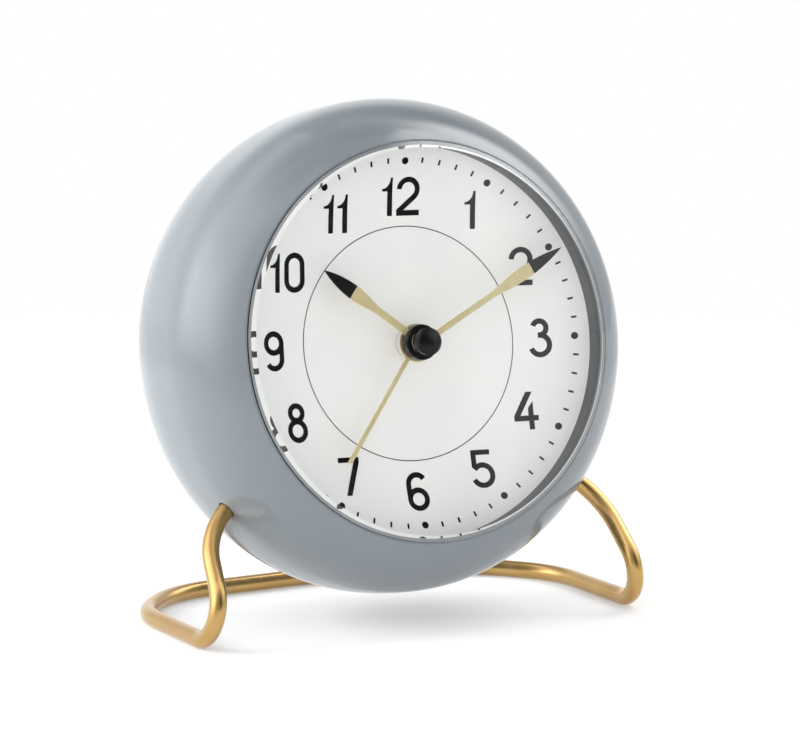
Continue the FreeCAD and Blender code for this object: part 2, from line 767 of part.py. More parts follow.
pillar_x = mm.plate_half_width - mm.pillar_inset
pillar_y = mm.plate_half_height - mm.pillar_inset
pillar_places = [(sx * pillar_x, sy * pillar_y) for sx in (-1, 1) for sy in (-1, 1)]
plate_path = rounded_box(-mm.plate_half_width, -mm.plate_half_height,
                         mm.plate_half_width, mm.plate_half_height, mm.plate_corner)
pivot_places = [third_at, second_at, fifth_at, rotor_at]
pivot_holes = [(at.x, at.y, mm.pivot_radius + mm.running_fit) for at in pivot_places]
PLATE_SCREW_RADIUS = 0.8
PLATE_SCREW_LENGTH = 6.0
PLATE_SCREW_HEAD = 1.8
PLATE_SCREW_HEAD_HEIGHT = 1.2
STATOR_POST_RADIUS = 1.15
KNOB_PIVOT_RADIUS = 0.8
SPACER_RADIUS = 1.3

# Stator frame round the rotor, with the coil on its outer limb

STATOR_LEFT_ROOM = 4.2
STATOR_LIMB = 2.4
STATOR_THICK = 1.0
STATOR_WINDOW_LEFT = 4.35
STATOR_WINDOW_WIDTH = 3.7
STATOR_ABOVE = 7.7
STATOR_BELOW = 10.7
ROTOR_AIR_GAP = 0.5
MAGNET_RADIUS = 3.0
MAGNET_LENGTH = 2.2
stator_left = rotor_at.x - STATOR_LEFT_ROOM
window_left = rotor_at.x + STATOR_WINDOW_LEFT
window_right = window_left + STATOR_WINDOW_WIDTH
stator_right = window_right + STATOR_LIMB
stator_top = rotor_at.y + STATOR_ABOVE
stator_bottom = rotor_at.y - STATOR_BELOW
window_top = stator_top - STATOR_LIMB
window_bottom = stator_bottom + STATOR_LIMB
stator_front = level(mm.stator_drop)
stator_posts = [(stator_left + STATOR_LIMB, stator_bottom + STATOR_LIMB / 2),
                (window_left + STATOR_WINDOW_WIDTH / 2, stator_top - STATOR_LIMB / 2)]

front_plate = new_body("movement_front_plate")
pad(front_plate, front_plate_back, "front_plate_thick", path=plate_path, circles=pivot_holes + [
    (0, 0, mm.alarm_pipe_radius + mm.running_fit),
    (time_knob_at.x, time_knob_at.y, KNOB_PIVOT_RADIUS + mm.running_fit),
    (alarm_knob_at.x, alarm_knob_at.y, KNOB_PIVOT_RADIUS + mm.running_fit),
] + [(x, y, DIAL_BOSS_RADIUS + mm.loose_fit / 2) for x, y in DIAL_BOSS_PLACES])
pad(front_plate, rear_plate_front, "train_height",
    circles=[(x, y, mm.pillar_radius) for x, y in pillar_places])
pocket(front_plate, rear_plate_front + PLATE_SCREW_LENGTH, PLATE_SCREW_LENGTH,
       circles=[(x, y, PLATE_SCREW_RADIUS + mm.press_fit) for x, y in pillar_places])
pad(front_plate, stator_front, "stator_drop", circles=[(x, y, STATOR_POST_RADIUS) for x, y in stator_posts])
intermediate_back = level(mm.minute_drop) - mm.wheel_thick
intermediate_front = level(mm.hour_drop) + (mm.pinion_length - mm.wheel_thick) / 2
idler_front = level(mm.alarm_drop) + mm.running_fit
idler_back = idler_front - mm.wheel_thick - 0.5 * mm.alarm_drop
pad(front_plate, intermediate_back, front_plate_back - intermediate_back,
    circles=[(intermediate_at.x, intermediate_at.y, mm.stud_radius)])
pad(front_plate, intermediate_front + mm.running_fit, front_plate_back - intermediate_front - mm.running_fit,
    circles=[(intermediate_at.x, intermediate_at.y, SPACER_RADIUS)])
pad(front_plate, idler_back, front_plate_back - idler_back,
    circles=[(idler_at.x, idler_at.y, mm.stud_radius)])
keep(front_plate, in_case())

BOARD_POST_RADIUS = 1.8
BOARD_POST_PLACES = ((-24.0, 6.0), (24.0, 10.0), (0.0, -20.0))
rear_plate = new_body("movement_rear_plate")
pad(rear_plate, rear_plate_back, "rear_plate_thick", path=plate_path, circles=pivot_holes + [
    (0, 0, KNOB_PIVOT_RADIUS + mm.running_fit),
    (time_knob_at.x, time_knob_at.y, mm.stem_radius + mm.running_fit),
    (alarm_knob_at.x, alarm_knob_at.y, mm.stem_radius + mm.running_fit),
] + [(x, y, PLATE_SCREW_RADIUS + mm.loose_fit) for x, y in pillar_places])
pad(rear_plate, board_front, "board_gap", circles=[(x, y, BOARD_POST_RADIUS) for x, y in BOARD_POST_PLACES])
keep(rear_plate, in_case())

plate_screws = []
for x, y in pillar_places:
    head = rod(PLATE_SCREW_HEAD, rear_plate_back - PLATE_SCREW_HEAD_HEIGHT, rear_plate_back, x, y)
    shank = rod(PLATE_SCREW_RADIUS, rear_plate_back, rear_plate_front + PLATE_SCREW_LENGTH, x, y)
    plate_screws.append(head.fuse(shank).removeSplitter())
keep(coded("movement_screws", Part.makeCompound(plate_screws)), in_case())

stator = new_body("stator")
pad(stator, stator_front - STATOR_THICK, STATOR_THICK,
    path=plain_box(stator_left, stator_bottom, stator_right, stator_top),
    circles=[(rotor_at.x, rotor_at.y, MAGNET_RADIUS + ROTOR_AIR_GAP)])
pocket(stator, stator_front, STATOR_THICK,
       path=plain_box(window_left, window_bottom, window_right, window_top))
keep(stator, in_case())

# Coil on the stator's limb

FLANGE_RADIUS = 4.2
WINDING_RADIUS = 3.8
SPOOL_RADIUS = 2.0
SPOOL_FLANGE = 0.8
SPOOL_END_ROOM = 0.6
spool_length = window_top - window_bottom - 2 * SPOOL_END_ROOM
limb_middle = window_right + STATOR_LIMB / 2
spool_axis = Placement(Vector(limb_middle, window_bottom + SPOOL_END_ROOM, stator_front - STATOR_THICK / 2),
                       Rotation(Vector(1, 0, 0), -90))
spool = revolved("coil_bobbin", [
    (0, 0), (FLANGE_RADIUS, 0), (FLANGE_RADIUS, SPOOL_FLANGE), (SPOOL_RADIUS, SPOOL_FLANGE),
    (SPOOL_RADIUS, spool_length - SPOOL_FLANGE), (FLANGE_RADIUS, spool_length - SPOOL_FLANGE),
    (FLANGE_RADIUS, spool_length), (0, spool_length),
])
limb_half = STATOR_LIMB / 2 + mm.running_fit
limb_depth = STATOR_THICK / 2 + mm.running_fit
pocket(spool, spool_length, spool_length, path=plain_box(-limb_half, -limb_depth, limb_half, limb_depth))
keep(spool, leaned.multiply(spool_axis))
keep(revolved("coil_winding", [
    (SPOOL_RADIUS + mm.press_fit, SPOOL_FLANGE + mm.press_fit),
    (WINDING_RADIUS, SPOOL_FLANGE + mm.press_fit),
    (WINDING_RADIUS, spool_length - SPOOL_FLANGE - mm.press_fit),
    (SPOOL_RADIUS + mm.press_fit, spool_length - SPOOL_FLANGE - mm.press_fit),
]), leaned.multiply(spool_axis))

# Hand-setting wheels

cannon_front = level(mm.minute_drop) + (mm.pinion_length - mm.wheel_thick) / 2
cannon_back = cannon_front - mm.pinion_length
cannon_phase = 0.0
intermediate_phase = mesh_phase(centre_at, cannon_phase, CANNON_TEETH, intermediate_at, INTERMEDIATE_TEETH)
time_phase = mesh_phase(intermediate_at, intermediate_phase, INTERMEDIATE_TEETH,
                        time_knob_at, SETTING_PINION_TEETH)
hour_phase = mesh_phase(intermediate_at, 0.0, INTERMEDIATE_PINION_TEETH, centre_at, HOUR_TEETH)
alarm_phase = 0.0
idler_phase = mesh_phase(centre_at, alarm_phase, ALARM_TEETH, idler_at, IDLER_TEETH)
alarm_knob_phase = mesh_phase(idler_at, idler_phase, IDLER_TEETH, alarm_knob_at, ALARM_KNOB_TEETH)

CAP_BORE_DEPTH = 1.4
cap_foot = mm.minute_hand_height + mm.hand_thick + mm.press_fit
arbor_tip = cap_foot + CAP_BORE_DEPTH - mm.running_fit
keep(coded("minute_arbor", fused([
    gear(CANNON_TEETH, mm.setting_module, cannon_phase, cannon_back, cannon_front),
    rod(mm.minute_arbor_radius, cannon_front, mm.minute_hand_height),
    rod(mm.arbor_tip_radius, mm.minute_hand_height, arbor_tip),
    rod(mm.arbor_tail_radius, rear_plate_front + mm.running_fit, cannon_back),
    rod(KNOB_PIVOT_RADIUS, pivot_rear, rear_plate_front + mm.running_fit),
])), in_case())

intermediate = fused([
    gear(INTERMEDIATE_TEETH, mm.setting_module, intermediate_phase,
         intermediate_back, level(mm.minute_drop)),
    gear(INTERMEDIATE_PINION_TEETH, mm.hour_module, 0.0, level(mm.minute_drop), intermediate_front),
]).cut(rod(mm.stud_radius + mm.running_fit, intermediate_back, intermediate_front))
keep(coded("intermediate_wheel", intermediate), in_case(intermediate_at))

hour_pipe_top = mm.hour_hub_height + mm.hour_hub_length - mm.loose_fit
hour_wheel = fused([
    gear(HOUR_TEETH, mm.hour_module, hour_phase, level(mm.hour_drop) - mm.wheel_thick, level(mm.hour_drop)),
    rod(mm.hour_pipe_radius, level(mm.hour_drop), hour_pipe_top),
]).cut(rod(mm.minute_arbor_radius + mm.running_fit, level(mm.hour_drop) - mm.wheel_thick, hour_pipe_top))
keep(coded("hour_wheel", hour_wheel), in_case())

ALARM_COLLAR_RADIUS = 4.2
alarm_pipe_top = mm.alarm_hand_height + mm.hand_thick
alarm_wheel = fused([
    gear(ALARM_TEETH, mm.setting_module, alarm_phase,
         level(mm.alarm_drop) - mm.wheel_thick, level(mm.alarm_drop)),
    rod(ALARM_COLLAR_RADIUS, level(mm.alarm_drop), front_plate_back - mm.running_fit),
    rod(mm.alarm_pipe_radius, level(mm.alarm_drop), alarm_pipe_top),
]).cut(rod(mm.hour_pipe_radius + mm.running_fit, level(mm.alarm_drop) - mm.wheel_thick, alarm_pipe_top))
keep(coded("alarm_wheel", alarm_wheel), in_case())

idler = gear(IDLER_TEETH, mm.setting_module, idler_phase, idler_back, idler_front - mm.running_fit)
idler = idler.cut(rod(mm.stud_radius + mm.running_fit, idler_back, idler_front))
keep(coded("alarm_idler", idler), in_case(idler_at))

# Setting knobs: grip outside the cover, stem and teeth inside the movement

KNOB_CHAMFER = 0.6


def setting_knob(label, at, teeth, phase, teeth_low, teeth_high):
    top = cover_back - mm.knob_gap
    low = top - mm.knob_height
    grip = fused([
        Part.makeCone(mm.knob_radius - KNOB_CHAMFER, mm.knob_radius, KNOB_CHAMFER, Vector(0, 0, low)),
        rod(mm.knob_radius, low + KNOB_CHAMFER, top),
    ])
    flutes = []
    for number in range(int(mm.knob_flutes)):
        bearing = 2 * math.pi * number / mm.knob_flutes
        flutes.append(rod(mm.flute_radius, low, top,
                          (mm.knob_radius + 0.3 * mm.flute_radius) * math.cos(bearing),
                          (mm.knob_radius + 0.3 * mm.flute_radius) * math.sin(bearing)))
    whole = fused([
        grip.cut(flutes),
        rod(mm.stem_radius, top, teeth_low),
        gear(teeth, mm.setting_module, phase, teeth_low, teeth_high),
        rod(KNOB_PIVOT_RADIUS, teeth_high, pivot_front),
    ])
    keep(coded(label, whole), in_case(at))


setting_knob("time_knob", time_knob_at, SETTING_PINION_TEETH, time_phase, cannon_back, cannon_front)
setting_knob("alarm_knob", alarm_knob_at, ALARM_KNOB_TEETH, alarm_knob_phase,
             level(mm.alarm_drop) - mm.wheel_thick, level(mm.alarm_drop))

# Running train from the rotor to the centre wheel

train_rise = (mm.pinion_length - mm.train_wheel_thick) / 2


def wheel_span(drop):
    return level(drop) - mm.train_wheel_thick, level(drop)


def pinion_span(drop):
    return level(drop) - mm.train_wheel_thick - train_rise, level(drop) + train_rise


def train_arbor():
    """Arbor of a running wheel with a pivot at each end."""
    return [
        rod(mm.arbor_radius, rear_plate_front + mm.running_fit, front_plate_back - mm.running_fit),
        rod(mm.pivot_radius, pivot_rear, rear_plate_front + mm.running_fit),
        rod(mm.pivot_radius, front_plate_back - mm.running_fit, pivot_front),
    ]


centre_phase = 0.0
third_pinion_phase = mesh_phase(centre_at, centre_phase, CENTRE_TEETH, third_at, TRAIN_PINION_TEETH)
third_phase = 0.0
second_pinion_phase = mesh_phase(third_at, third_phase, THIRD_TEETH, second_at, TRAIN_PINION_TEETH)
second_phase = 0.0
fifth_pinion_phase = mesh_phase(second_at, second_phase, SECOND_TEETH, fifth_at, TRAIN_PINION_TEETH)
fifth_phase = 0.0
rotor_pinion_phase = mesh_phase(fifth_at, fifth_phase, FIFTH_TEETH, rotor_at, TRAIN_PINION_TEETH)

CENTRE_HUB_RADIUS = 2.4
CLUTCH_ROOM = 0.6
hub_low = pinion_span(mm.centre_drop)[0]
hub_high = cannon_back - CLUTCH_ROOM
centre_wheel = fused([
    gear(CENTRE_TEETH, mm.train_module, centre_phase, *wheel_span(mm.centre_drop)),
    rod(CENTRE_HUB_RADIUS, hub_low, hub_high),
]).cut(rod(mm.arbor_tail_radius + mm.running_fit, hub_low, hub_high))
keep(coded("centre_wheel", centre_wheel), in_case())
keep(revolved("clutch_washer", [
    (mm.arbor_tail_radius + mm.press_fit, hub_high + mm.running_fit),
    (CENTRE_HUB_RADIUS - mm.loose_fit, hub_high + mm.running_fit),
    (CENTRE_HUB_RADIUS - mm.loose_fit, cannon_back - mm.press_fit),
    (mm.arbor_tail_radius + mm.press_fit, cannon_back - mm.press_fit),
]), in_case())


def train_wheel(label, at, teeth, phase, drop, pinion_phase, pinion_drop):
    shapes = [
        gear(teeth, mm.train_module, phase, *wheel_span(drop)),
        gear(TRAIN_PINION_TEETH, mm.train_module, pinion_phase, *pinion_span(pinion_drop)),
    ] + train_arbor()
    keep(coded(label, fused(shapes)), in_case(at))


train_wheel("third_wheel", third_at, THIRD_TEETH, third_phase, mm.third_drop,
            third_pinion_phase, mm.centre_drop)
train_wheel("second_wheel", second_at, SECOND_TEETH, second_phase, mm.second_drop,
            second_pinion_phase, mm.third_drop)
train_wheel("fifth_wheel", fifth_at, FIFTH_TEETH, fifth_phase, mm.third_drop,
            fifth_pinion_phase, mm.second_drop)
magnet_middle = stator_front - STATOR_THICK / 2
keep(coded("rotor", fused([
    rod(MAGNET_RADIUS, magnet_middle - MAGNET_LENGTH / 2, magnet_middle + MAGNET_LENGTH / 2),
    gear(TRAIN_PINION_TEETH, mm.train_module, rotor_pinion_phase, *pinion_span(mm.third_drop)),
] + train_arbor())), in_case(rotor_at))

# Hands and hub

def leaf_hand(label, height, reach, width, stem_width, stem_end, root, hub_radius, bore, bearing):
    """A flat hand: slender stem, leaf with a pointed tip, and a ring on its pipe."""
    half = width / 2
    stem = stem_width / 2
    widest = stem_end + 0.42 * (reach - stem_end)
    flare = stem_end + 0.22 * (reach - stem_end)
    flare_half = stem + 0.62 * (half - stem)
    flare_dip = stem + 0.2 * (half - stem)
    hand = new_body(label)
    right = [
        (root, -stem), (stem_end, -stem),
        ((stem_end + flare) / 2, -flare_dip, flare, -flare_half),
        (widest, -half, reach, 0),
    ]
    left = [
        (widest, half, flare, flare_half),
        ((stem_end + flare) / 2, flare_dip, stem_end, stem),
        (root, stem),
    ]
    pad(hand, height, "hand_thick", path=right + left)
    if hub_radius:
        pad(hand, height, "hand_thick", circles=[(0, 0, hub_radius)])
        pocket(hand, height + mm.hand_thick, "hand_thick", circles=[(0, 0, bore)])
    keep(hand, on_dial(bearing))


HOUR_STEM_END = 12.0
MINUTE_STEM_END = 19.5
HOUR_ROOT = 3.0
slot_width = mm.hour_stem_width + 2 * mm.press_fit
hour_slot = Part.makeBox(mm.hour_hub_radius, slot_width, mm.hand_thick + 2 * mm.press_fit,
                         Vector(HOUR_ROOT, -slot_width / 2, mm.hour_hand_height - mm.press_fit))
leaf_hand("hour_hand", mm.hour_hand_height, mm.hour_hand_reach, mm.hour_hand_width, mm.hour_stem_width,
          HOUR_STEM_END, HOUR_ROOT, None, None, mm.hour_bearing)
leaf_hand("minute_hand", mm.minute_hand_height, mm.minute_hand_reach, mm.minute_hand_width,
          mm.minute_stem_width, MINUTE_STEM_END, mm.arbor_tip_radius + 0.5, mm.minute_hub_radius,
          mm.arbor_tip_radius + mm.press_fit, mm.minute_bearing)

HUB_CHAMFER = 0.25
hub_top = mm.hour_hub_height + mm.hour_hub_length
hub_bore = mm.hour_pipe_radius + mm.press_fit
hub_blank = revolved("hour_hub_blank", [
    (hub_bore, mm.hour_hub_height),
    (mm.hour_hub_radius, mm.hour_hub_height),
    (mm.hour_hub_radius, hub_top - HUB_CHAMFER),
    (mm.hour_hub_radius - HUB_CHAMFER, hub_top),
    (hub_bore, hub_top),
])
hour_hub = doc.addObject("Part::Cut", "hour_hub")
hour_hub.Base = hub_blank
hour_hub.Tool = coded("hour_hub_slot", hour_slot)
keep(hour_hub, on_dial(mm.hour_bearing))

alarm_hand = new_body("alarm_hand")
pad(alarm_hand, mm.alarm_hand_height, "hand_thick", circles=[(0, 0, mm.alarm_hub_radius)])
pad(alarm_hand, mm.alarm_hand_height, "hand_thick",
    path=plain_box(0, -mm.alarm_hand_width / 2, mm.alarm_hand_reach, mm.alarm_hand_width / 2))
pocket(alarm_hand, mm.alarm_hand_height + mm.hand_thick, "hand_thick",
       circles=[(0, 0, mm.alarm_pipe_radius + mm.press_fit)])
keep(alarm_hand, on_dial(mm.alarm_bearing))

cap_rim = cap_foot + mm.cap_length
cap_bore = mm.arbor_tip_radius + mm.press_fit
keep(revolved("centre_cap", [
    (cap_bore, cap_foot), (mm.cap_radius, cap_foot), (mm.cap_radius, cap_rim - mm.cap_chamfer),
    (mm.cap_radius - mm.cap_chamfer, cap_rim), (0, cap_rim + mm.cap_point),
    (0, cap_foot + CAP_BORE_DEPTH), (cap_bore, cap_foot + CAP_BORE_DEPTH),
]), in_case())

# Rear cover with the battery bay moulded on its inside

bay_half_length = (mm.cell_length + mm.cell_nub) / 2 + mm.bay_end
bay_half_height = mm.cell_radius + mm.bay_clear
cell_middle = cover_back + mm.door_thick + 2 * mm.bay_clear + mm.cell_radius
bay_floor = cell_middle + mm.cell_radius + mm.bay_clear
bay_front = bay_floor + mm.bay_wall
bay_y = -mm.cell_drop
slider_y = time_knob_at.y
CONTACT_THICK = 0.4
CONTACT_LEG = 2.0
contact_x = bay_half_length - mm.press_fit - CONTACT_THICK
CONTACT_SLOT_ROOM = 0.15
SOUND_HOLE_RADIUS = 0.8
SOUND_HOLE_PITCH = 2.6
BUZZER_AT = Vector(18.0, 5.0, 0)
SOUND_HOLES_ASIDE = Vector(4.0, 2.9, 0)
SOUND_HOLES_AT = BUZZER_AT + SOUND_HOLES_ASIDE
sound_holes = [(SOUND_HOLES_AT.x, SOUND_HOLES_AT.y, SOUND_HOLE_RADIUS)]
for number in range(6):
    bearing = math.radians(60 * number)
    sound_holes.append((SOUND_HOLES_AT.x + SOUND_HOLE_PITCH * math.cos(bearing),
                        SOUND_HOLES_AT.y + SOUND_HOLE_PITCH * math.sin(bearing), SOUND_HOLE_RADIUS))


def centred_box(half_x, half_y, x=0.0, y=0.0, corner=0.0):
    if corner:
        return rounded_box(x - half_x, y - half_y, x + half_x, y + half_y, corner)
    return plain_box(x - half_x, y - half_y, x + half_x, y + half_y)


snooze_up = mm.opening_radius - mm.snooze_room
slot_half = (mm.slider_width + mm.slider_travel) / 2 + mm.loose_fit
SNOOZE_CORNER = 3.0
cover = new_body("rear_cover")
pad(cover, cover_back, "cover_thick", circles=[(0, 0, mm.cover_radius)])
pad(cover, cover_front, bay_front - cover_front,
    path=centred_box(bay_half_length + mm.bay_wall, bay_half_height + mm.bay_wall, y=bay_y))
pocket(cover, bay_floor, bay_floor - cover_front,
       path=centred_box(bay_half_length, bay_half_height, y=bay_y))
pocket(cover, cover_front, "cover_thick",
       path=centred_box(bay_half_length + mm.door_lap, bay_half_height + mm.door_lap, y=bay_y))
pocket(cover, cover_front, "cover_thick", circles=sound_holes + [
    (time_knob_at.x, time_knob_at.y, mm.stem_radius + mm.loose_fit),
    (alarm_knob_at.x, alarm_knob_at.y, mm.stem_radius + mm.loose_fit),
] + [(x, y, SCREW_RADIUS + mm.loose_fit) for x, y in screw_places])
pocket(cover, cover_back + SCREW_HEAD_HEIGHT, SCREW_HEAD_HEIGHT,
       circles=[(x, y, SCREW_HEAD_RADIUS + mm.loose_fit) for x, y in screw_places])
pocket(cover, cover_front, "cover_thick",
       path=centred_box(slot_half, mm.slider_height / 2 + mm.loose_fit, y=slider_y))
pocket(cover, cover_front, "cover_thick",
       path=centred_box(mm.snooze_width / 2 + mm.loose_fit, mm.snooze_height / 2 + mm.loose_fit,
                        y=snooze_up, corner=SNOOZE_CORNER + mm.loose_fit))
for side in (1, -1):
    middle = side * (contact_x + CONTACT_THICK / 2)
    pocket(cover, bay_front, "bay_wall",
           path=centred_box(CONTACT_THICK / 2 + CONTACT_SLOT_ROOM, CONTACT_LEG / 2 + CONTACT_SLOT_ROOM,
                            x=middle - side * CONTACT_SLOT_ROOM, y=bay_y))
keep(cover, in_case())

rear_screws = []
for x, y in screw_places:
    seat = cover_back + SCREW_HEAD_HEIGHT
    head = rod(SCREW_HEAD_RADIUS, cover_back, seat, x, y)
    shank = rod(SCREW_RADIUS, seat, seat + SCREW_LENGTH, x, y)
    rear_screws.append(head.fuse(shank).removeSplitter())
keep(coded("rear_screws", Part.makeCompound(rear_screws)), in_case())

DOOR_CORNER = 1.0
THUMB_RADIUS = 4.0
THUMB_DEPTH = 0.7
THUMB_AT = 19.0
door_past_bay = mm.door_lap - mm.door_gap
door = new_body("battery_door")
pad(door, cover_back, "door_thick",
    path=centred_box(bay_half_length + door_past_bay, bay_half_height + door_past_bay,
                     y=bay_y, corner=DOOR_CORNER))
pocket(door, cover_back + THUMB_DEPTH, THUMB_DEPTH, circles=[(THUMB_AT, bay_y, THUMB_RADIUS)])
keep(door, in_case())

# Battery cell and its contacts

NUB_RADIUS = 2.7
cell_can = doc.addObject("Part::Cylinder", "cell_can")
cell_can.setExpression("Radius", bound("cell_radius"))
cell_can.setExpression("Height", bound("cell_length"))
cell_nub = doc.addObject("Part::Cylinder", "cell_nub")
cell_nub.Radius = NUB_RADIUS
cell_nub.setExpression("Height", bound("cell_nub"))
cell_nub.setExpression("Placement.Base.z", bound("cell_length"))
battery_cell = doc.addObject("Part::Fuse", "battery_cell")
battery_cell.Base = cell_can
battery_cell.Tool = cell_nub
cell_start = -(mm.cell_length + mm.cell_nub) / 2
along_x = Rotation(Vector(0, 1, 0), 90)
keep(battery_cell, leaned.multiply(Placement(Vector(cell_start, bay_y, cell_middle), along_x)))

CONTACT_HALF = 4.0
leg_end = board_back - mm.press_fit


def contact_plate(x_low):
    plate = Part.makeBox(CONTACT_THICK, 2 * CONTACT_HALF, 2 * CONTACT_HALF,
                         Vector(x_low, bay_y - CONTACT_HALF, cell_middle - CONTACT_HALF))
    leg = Part.makeBox(CONTACT_THICK, CONTACT_LEG, leg_end - cell_middle,
                       Vector(x_low, bay_y - CONTACT_LEG / 2, cell_middle))
    return plate.fuse(leg)


cell_positive = cell_start + mm.cell_length + mm.cell_nub
DIMPLE_RADIUS = 2.0
dimple = Part.makeCylinder(DIMPLE_RADIUS, contact_x - cell_positive - mm.press_fit,
                           Vector(cell_positive + mm.press_fit, bay_y, cell_middle), Vector(1, 0, 0))
keep(coded("battery_contact", contact_plate(contact_x).fuse(dimple).removeSplitter()), in_case())

LEAF_HALF = 2.5
leaf_reach = contact_x + cell_start - mm.press_fit
leaf_outer = Part.makeCylinder(CONTACT_HALF, 2 * LEAF_HALF, Vector(0, 0, 0), Vector(0, 1, 0))
leaf_inner = Part.makeCylinder(CONTACT_HALF - CONTACT_THICK, 2 * LEAF_HALF, Vector(0, 0, 0), Vector(0, 1, 0))
leaf_bow = leaf_outer.cut(leaf_inner)
leaf_bow.translate(Vector(cell_start - mm.press_fit - CONTACT_HALF, bay_y - LEAF_HALF, cell_middle))
leaf_keep = Part.makeBox(leaf_reach, 2 * CONTACT_HALF, 2 * CONTACT_HALF,
                         Vector(-contact_x, bay_y - CONTACT_HALF, cell_middle - CONTACT_HALF))
spring_plate = contact_plate(-contact_x - CONTACT_THICK)
keep(coded("battery_spring", spring_plate.fuse(leaf_bow.common(leaf_keep)).removeSplitter()), in_case())

# Alarm switch and snooze button

SLIDER_PLATE_HALF = 5.0
SLIDER_PLATE_HEIGHT = 6.0
slider_start = -mm.slider_travel / 2
slider_front = cover_front + mm.running_fit + mm.slider_plate_thick
slider = new_body("alarm_switch")
pad(slider, slider_front - mm.slider_plate_thick, "slider_plate_thick",
    path=centred_box(SLIDER_PLATE_HALF, SLIDER_PLATE_HEIGHT / 2, x=slider_start, y=slider_y))
thumb_low = cover_back - mm.slider_rise
pad(slider, thumb_low, slider_front - mm.slider_plate_thick - thumb_low,
    path=centred_box(mm.slider_width / 2, mm.slider_height / 2, x=slider_start, y=slider_y, corner=0.4))
keep(slider, in_case())

SWITCH_LEG = 1.2
switch_half = SLIDER_PLATE_HALF + mm.slider_travel / 2 + mm.loose_fit
switch_low = slider_front + mm.running_fit
switch_body = new_body("alarm_switch_body")
pad(switch_body, switch_low, "switch_body_depth",
    path=centred_box(switch_half + SWITCH_LEG, SLIDER_PLATE_HEIGHT / 2, y=slider_y))
for side in (1, -1):
    pad(switch_body, cover_front, switch_low - cover_front,
        path=centred_box(SWITCH_LEG / 2, SLIDER_PLATE_HEIGHT / 2,
                         x=side * (switch_half + SWITCH_LEG / 2), y=slider_y))
keep(switch_body, in_case())

SNOOZE_FLANGE = 1.2
switch_top = board_back - mm.snooze_switch_height
stem_end = switch_top - mm.snooze_travel - mm.running_fit
flange_low = cover_front + mm.running_fit
snooze = new_body("snooze_button")
pad(snooze, cover_back - mm.snooze_rise, flange_low + SNOOZE_FLANGE - cover_back + mm.snooze_rise,
    path=centred_box(mm.snooze_width / 2, mm.snooze_height / 2, y=snooze_up, corner=SNOOZE_CORNER))
pad(snooze, flange_low, SNOOZE_FLANGE,
    path=centred_box(mm.snooze_width / 2 + mm.snooze_lap, mm.snooze_height / 2 + mm.snooze_lap,
                     y=snooze_up, corner=SNOOZE_CORNER))
pad(snooze, flange_low + SNOOZE_FLANGE, stem_end - flange_low - SNOOZE_FLANGE,
    circles=[(0, snooze_up, mm.snooze_stem_radius)])
keep(snooze, in_case())

# Circuit board and what is soldered to it

BOARD_CORNER = 2.0
board = new_body("circuit_board")
pad(board, board_back, "board_thick",
    path=rounded_box(-mm.board_half_width, -mm.board_bottom,
                     mm.board_half_width, snooze_up + mm.board_past_switch, BOARD_CORNER),
    circles=[(at.x, at.y, mm.stem_radius + 2 * mm.loose_fit) for at in (time_knob_at, alarm_knob_at)])
keep(board, in_case())

SWITCH_SIDE = 6.0
PLUNGER_RADIUS = 1.7
PLUNGER_HEIGHT = 0.8
box_top = switch_top + PLUNGER_HEIGHT
switch_box = Part.makeBox(SWITCH_SIDE, SWITCH_SIDE, mm.snooze_switch_height - PLUNGER_HEIGHT,
                          Vector(-SWITCH_SIDE / 2, snooze_up - SWITCH_SIDE / 2, box_top))
plunger = rod(PLUNGER_RADIUS, switch_top, box_top, 0, snooze_up)
keep(coded("snooze_switch", switch_box.fuse(plunger).removeSplitter()), in_case())

CHIP_SIDE = 8.0
CHIP_HEIGHT = 1.2
chip = doc.addObject("Part::Box", "clock_chip")
chip.Length = CHIP_SIDE
chip.Width = CHIP_SIDE
chip.Height = CHIP_HEIGHT
keep(chip, in_case(Vector(-CHIP_SIDE / 2, 0, board_back - CHIP_HEIGHT)))

CRYSTAL_RADIUS = 1.5
CRYSTAL_LENGTH = 8.0
crystal = doc.addObject("Part::Cylinder", "quartz_crystal")
crystal.Radius = CRYSTAL_RADIUS
crystal.Height = CRYSTAL_LENGTH
CRYSTAL_GAP = 6.0
crystal_x = -CHIP_SIDE / 2 - CRYSTAL_GAP - CRYSTAL_LENGTH
crystal_at = Vector(crystal_x, CHIP_SIDE / 8, board_back - CRYSTAL_RADIUS - mm.press_fit)
keep(crystal, leaned.multiply(Placement(crystal_at, along_x)))

BUZZER_RADIUS = 6.0
BUZZER_HEIGHT = 5.6
BUZZER_PORT = 1.2
buzzer_can = doc.addObject("Part::Cylinder", "buzzer_can")
buzzer_can.Radius = BUZZER_RADIUS
buzzer_can.Height = BUZZER_HEIGHT
buzzer_port = doc.addObject("Part::Cylinder", "buzzer_port")
buzzer_port.Radius = BUZZER_PORT
buzzer_port.Height = BUZZER_HEIGHT / 3
buzzer = doc.addObject("Part::Cut", "buzzer")
buzzer.Base = buzzer_can
buzzer.Tool = buzzer_port
keep(buzzer, in_case(BUZZER_AT + Vector(0, 0, board_back - BUZZER_HEIGHT)))

# The clock stands on z = 0, centred front to back on the table that it covers

doc.recompute()
for item in doc.Objects:
    if "Invalid" in item.State or "Error" in item.State:
        raise RuntimeError("%s failed to build" % item.Label)
boxes = [part.Shape.optimalBoundingBox(False, False) for part in nodes]
front = min(box.YMin for box in boxes)
back = max(box.YMax for box in boxes)
stand = Placement(Vector(0, -(front + back) / 2, axis_height), Rotation())
for part in nodes:
    part.Placement = stand.multiply(part.Placement)
doc.recompute()
print("dial centre stands at y %.4f z %.4f, lean %.3f" % (stand.Base.y, stand.Base.z, mm.lean_angle))

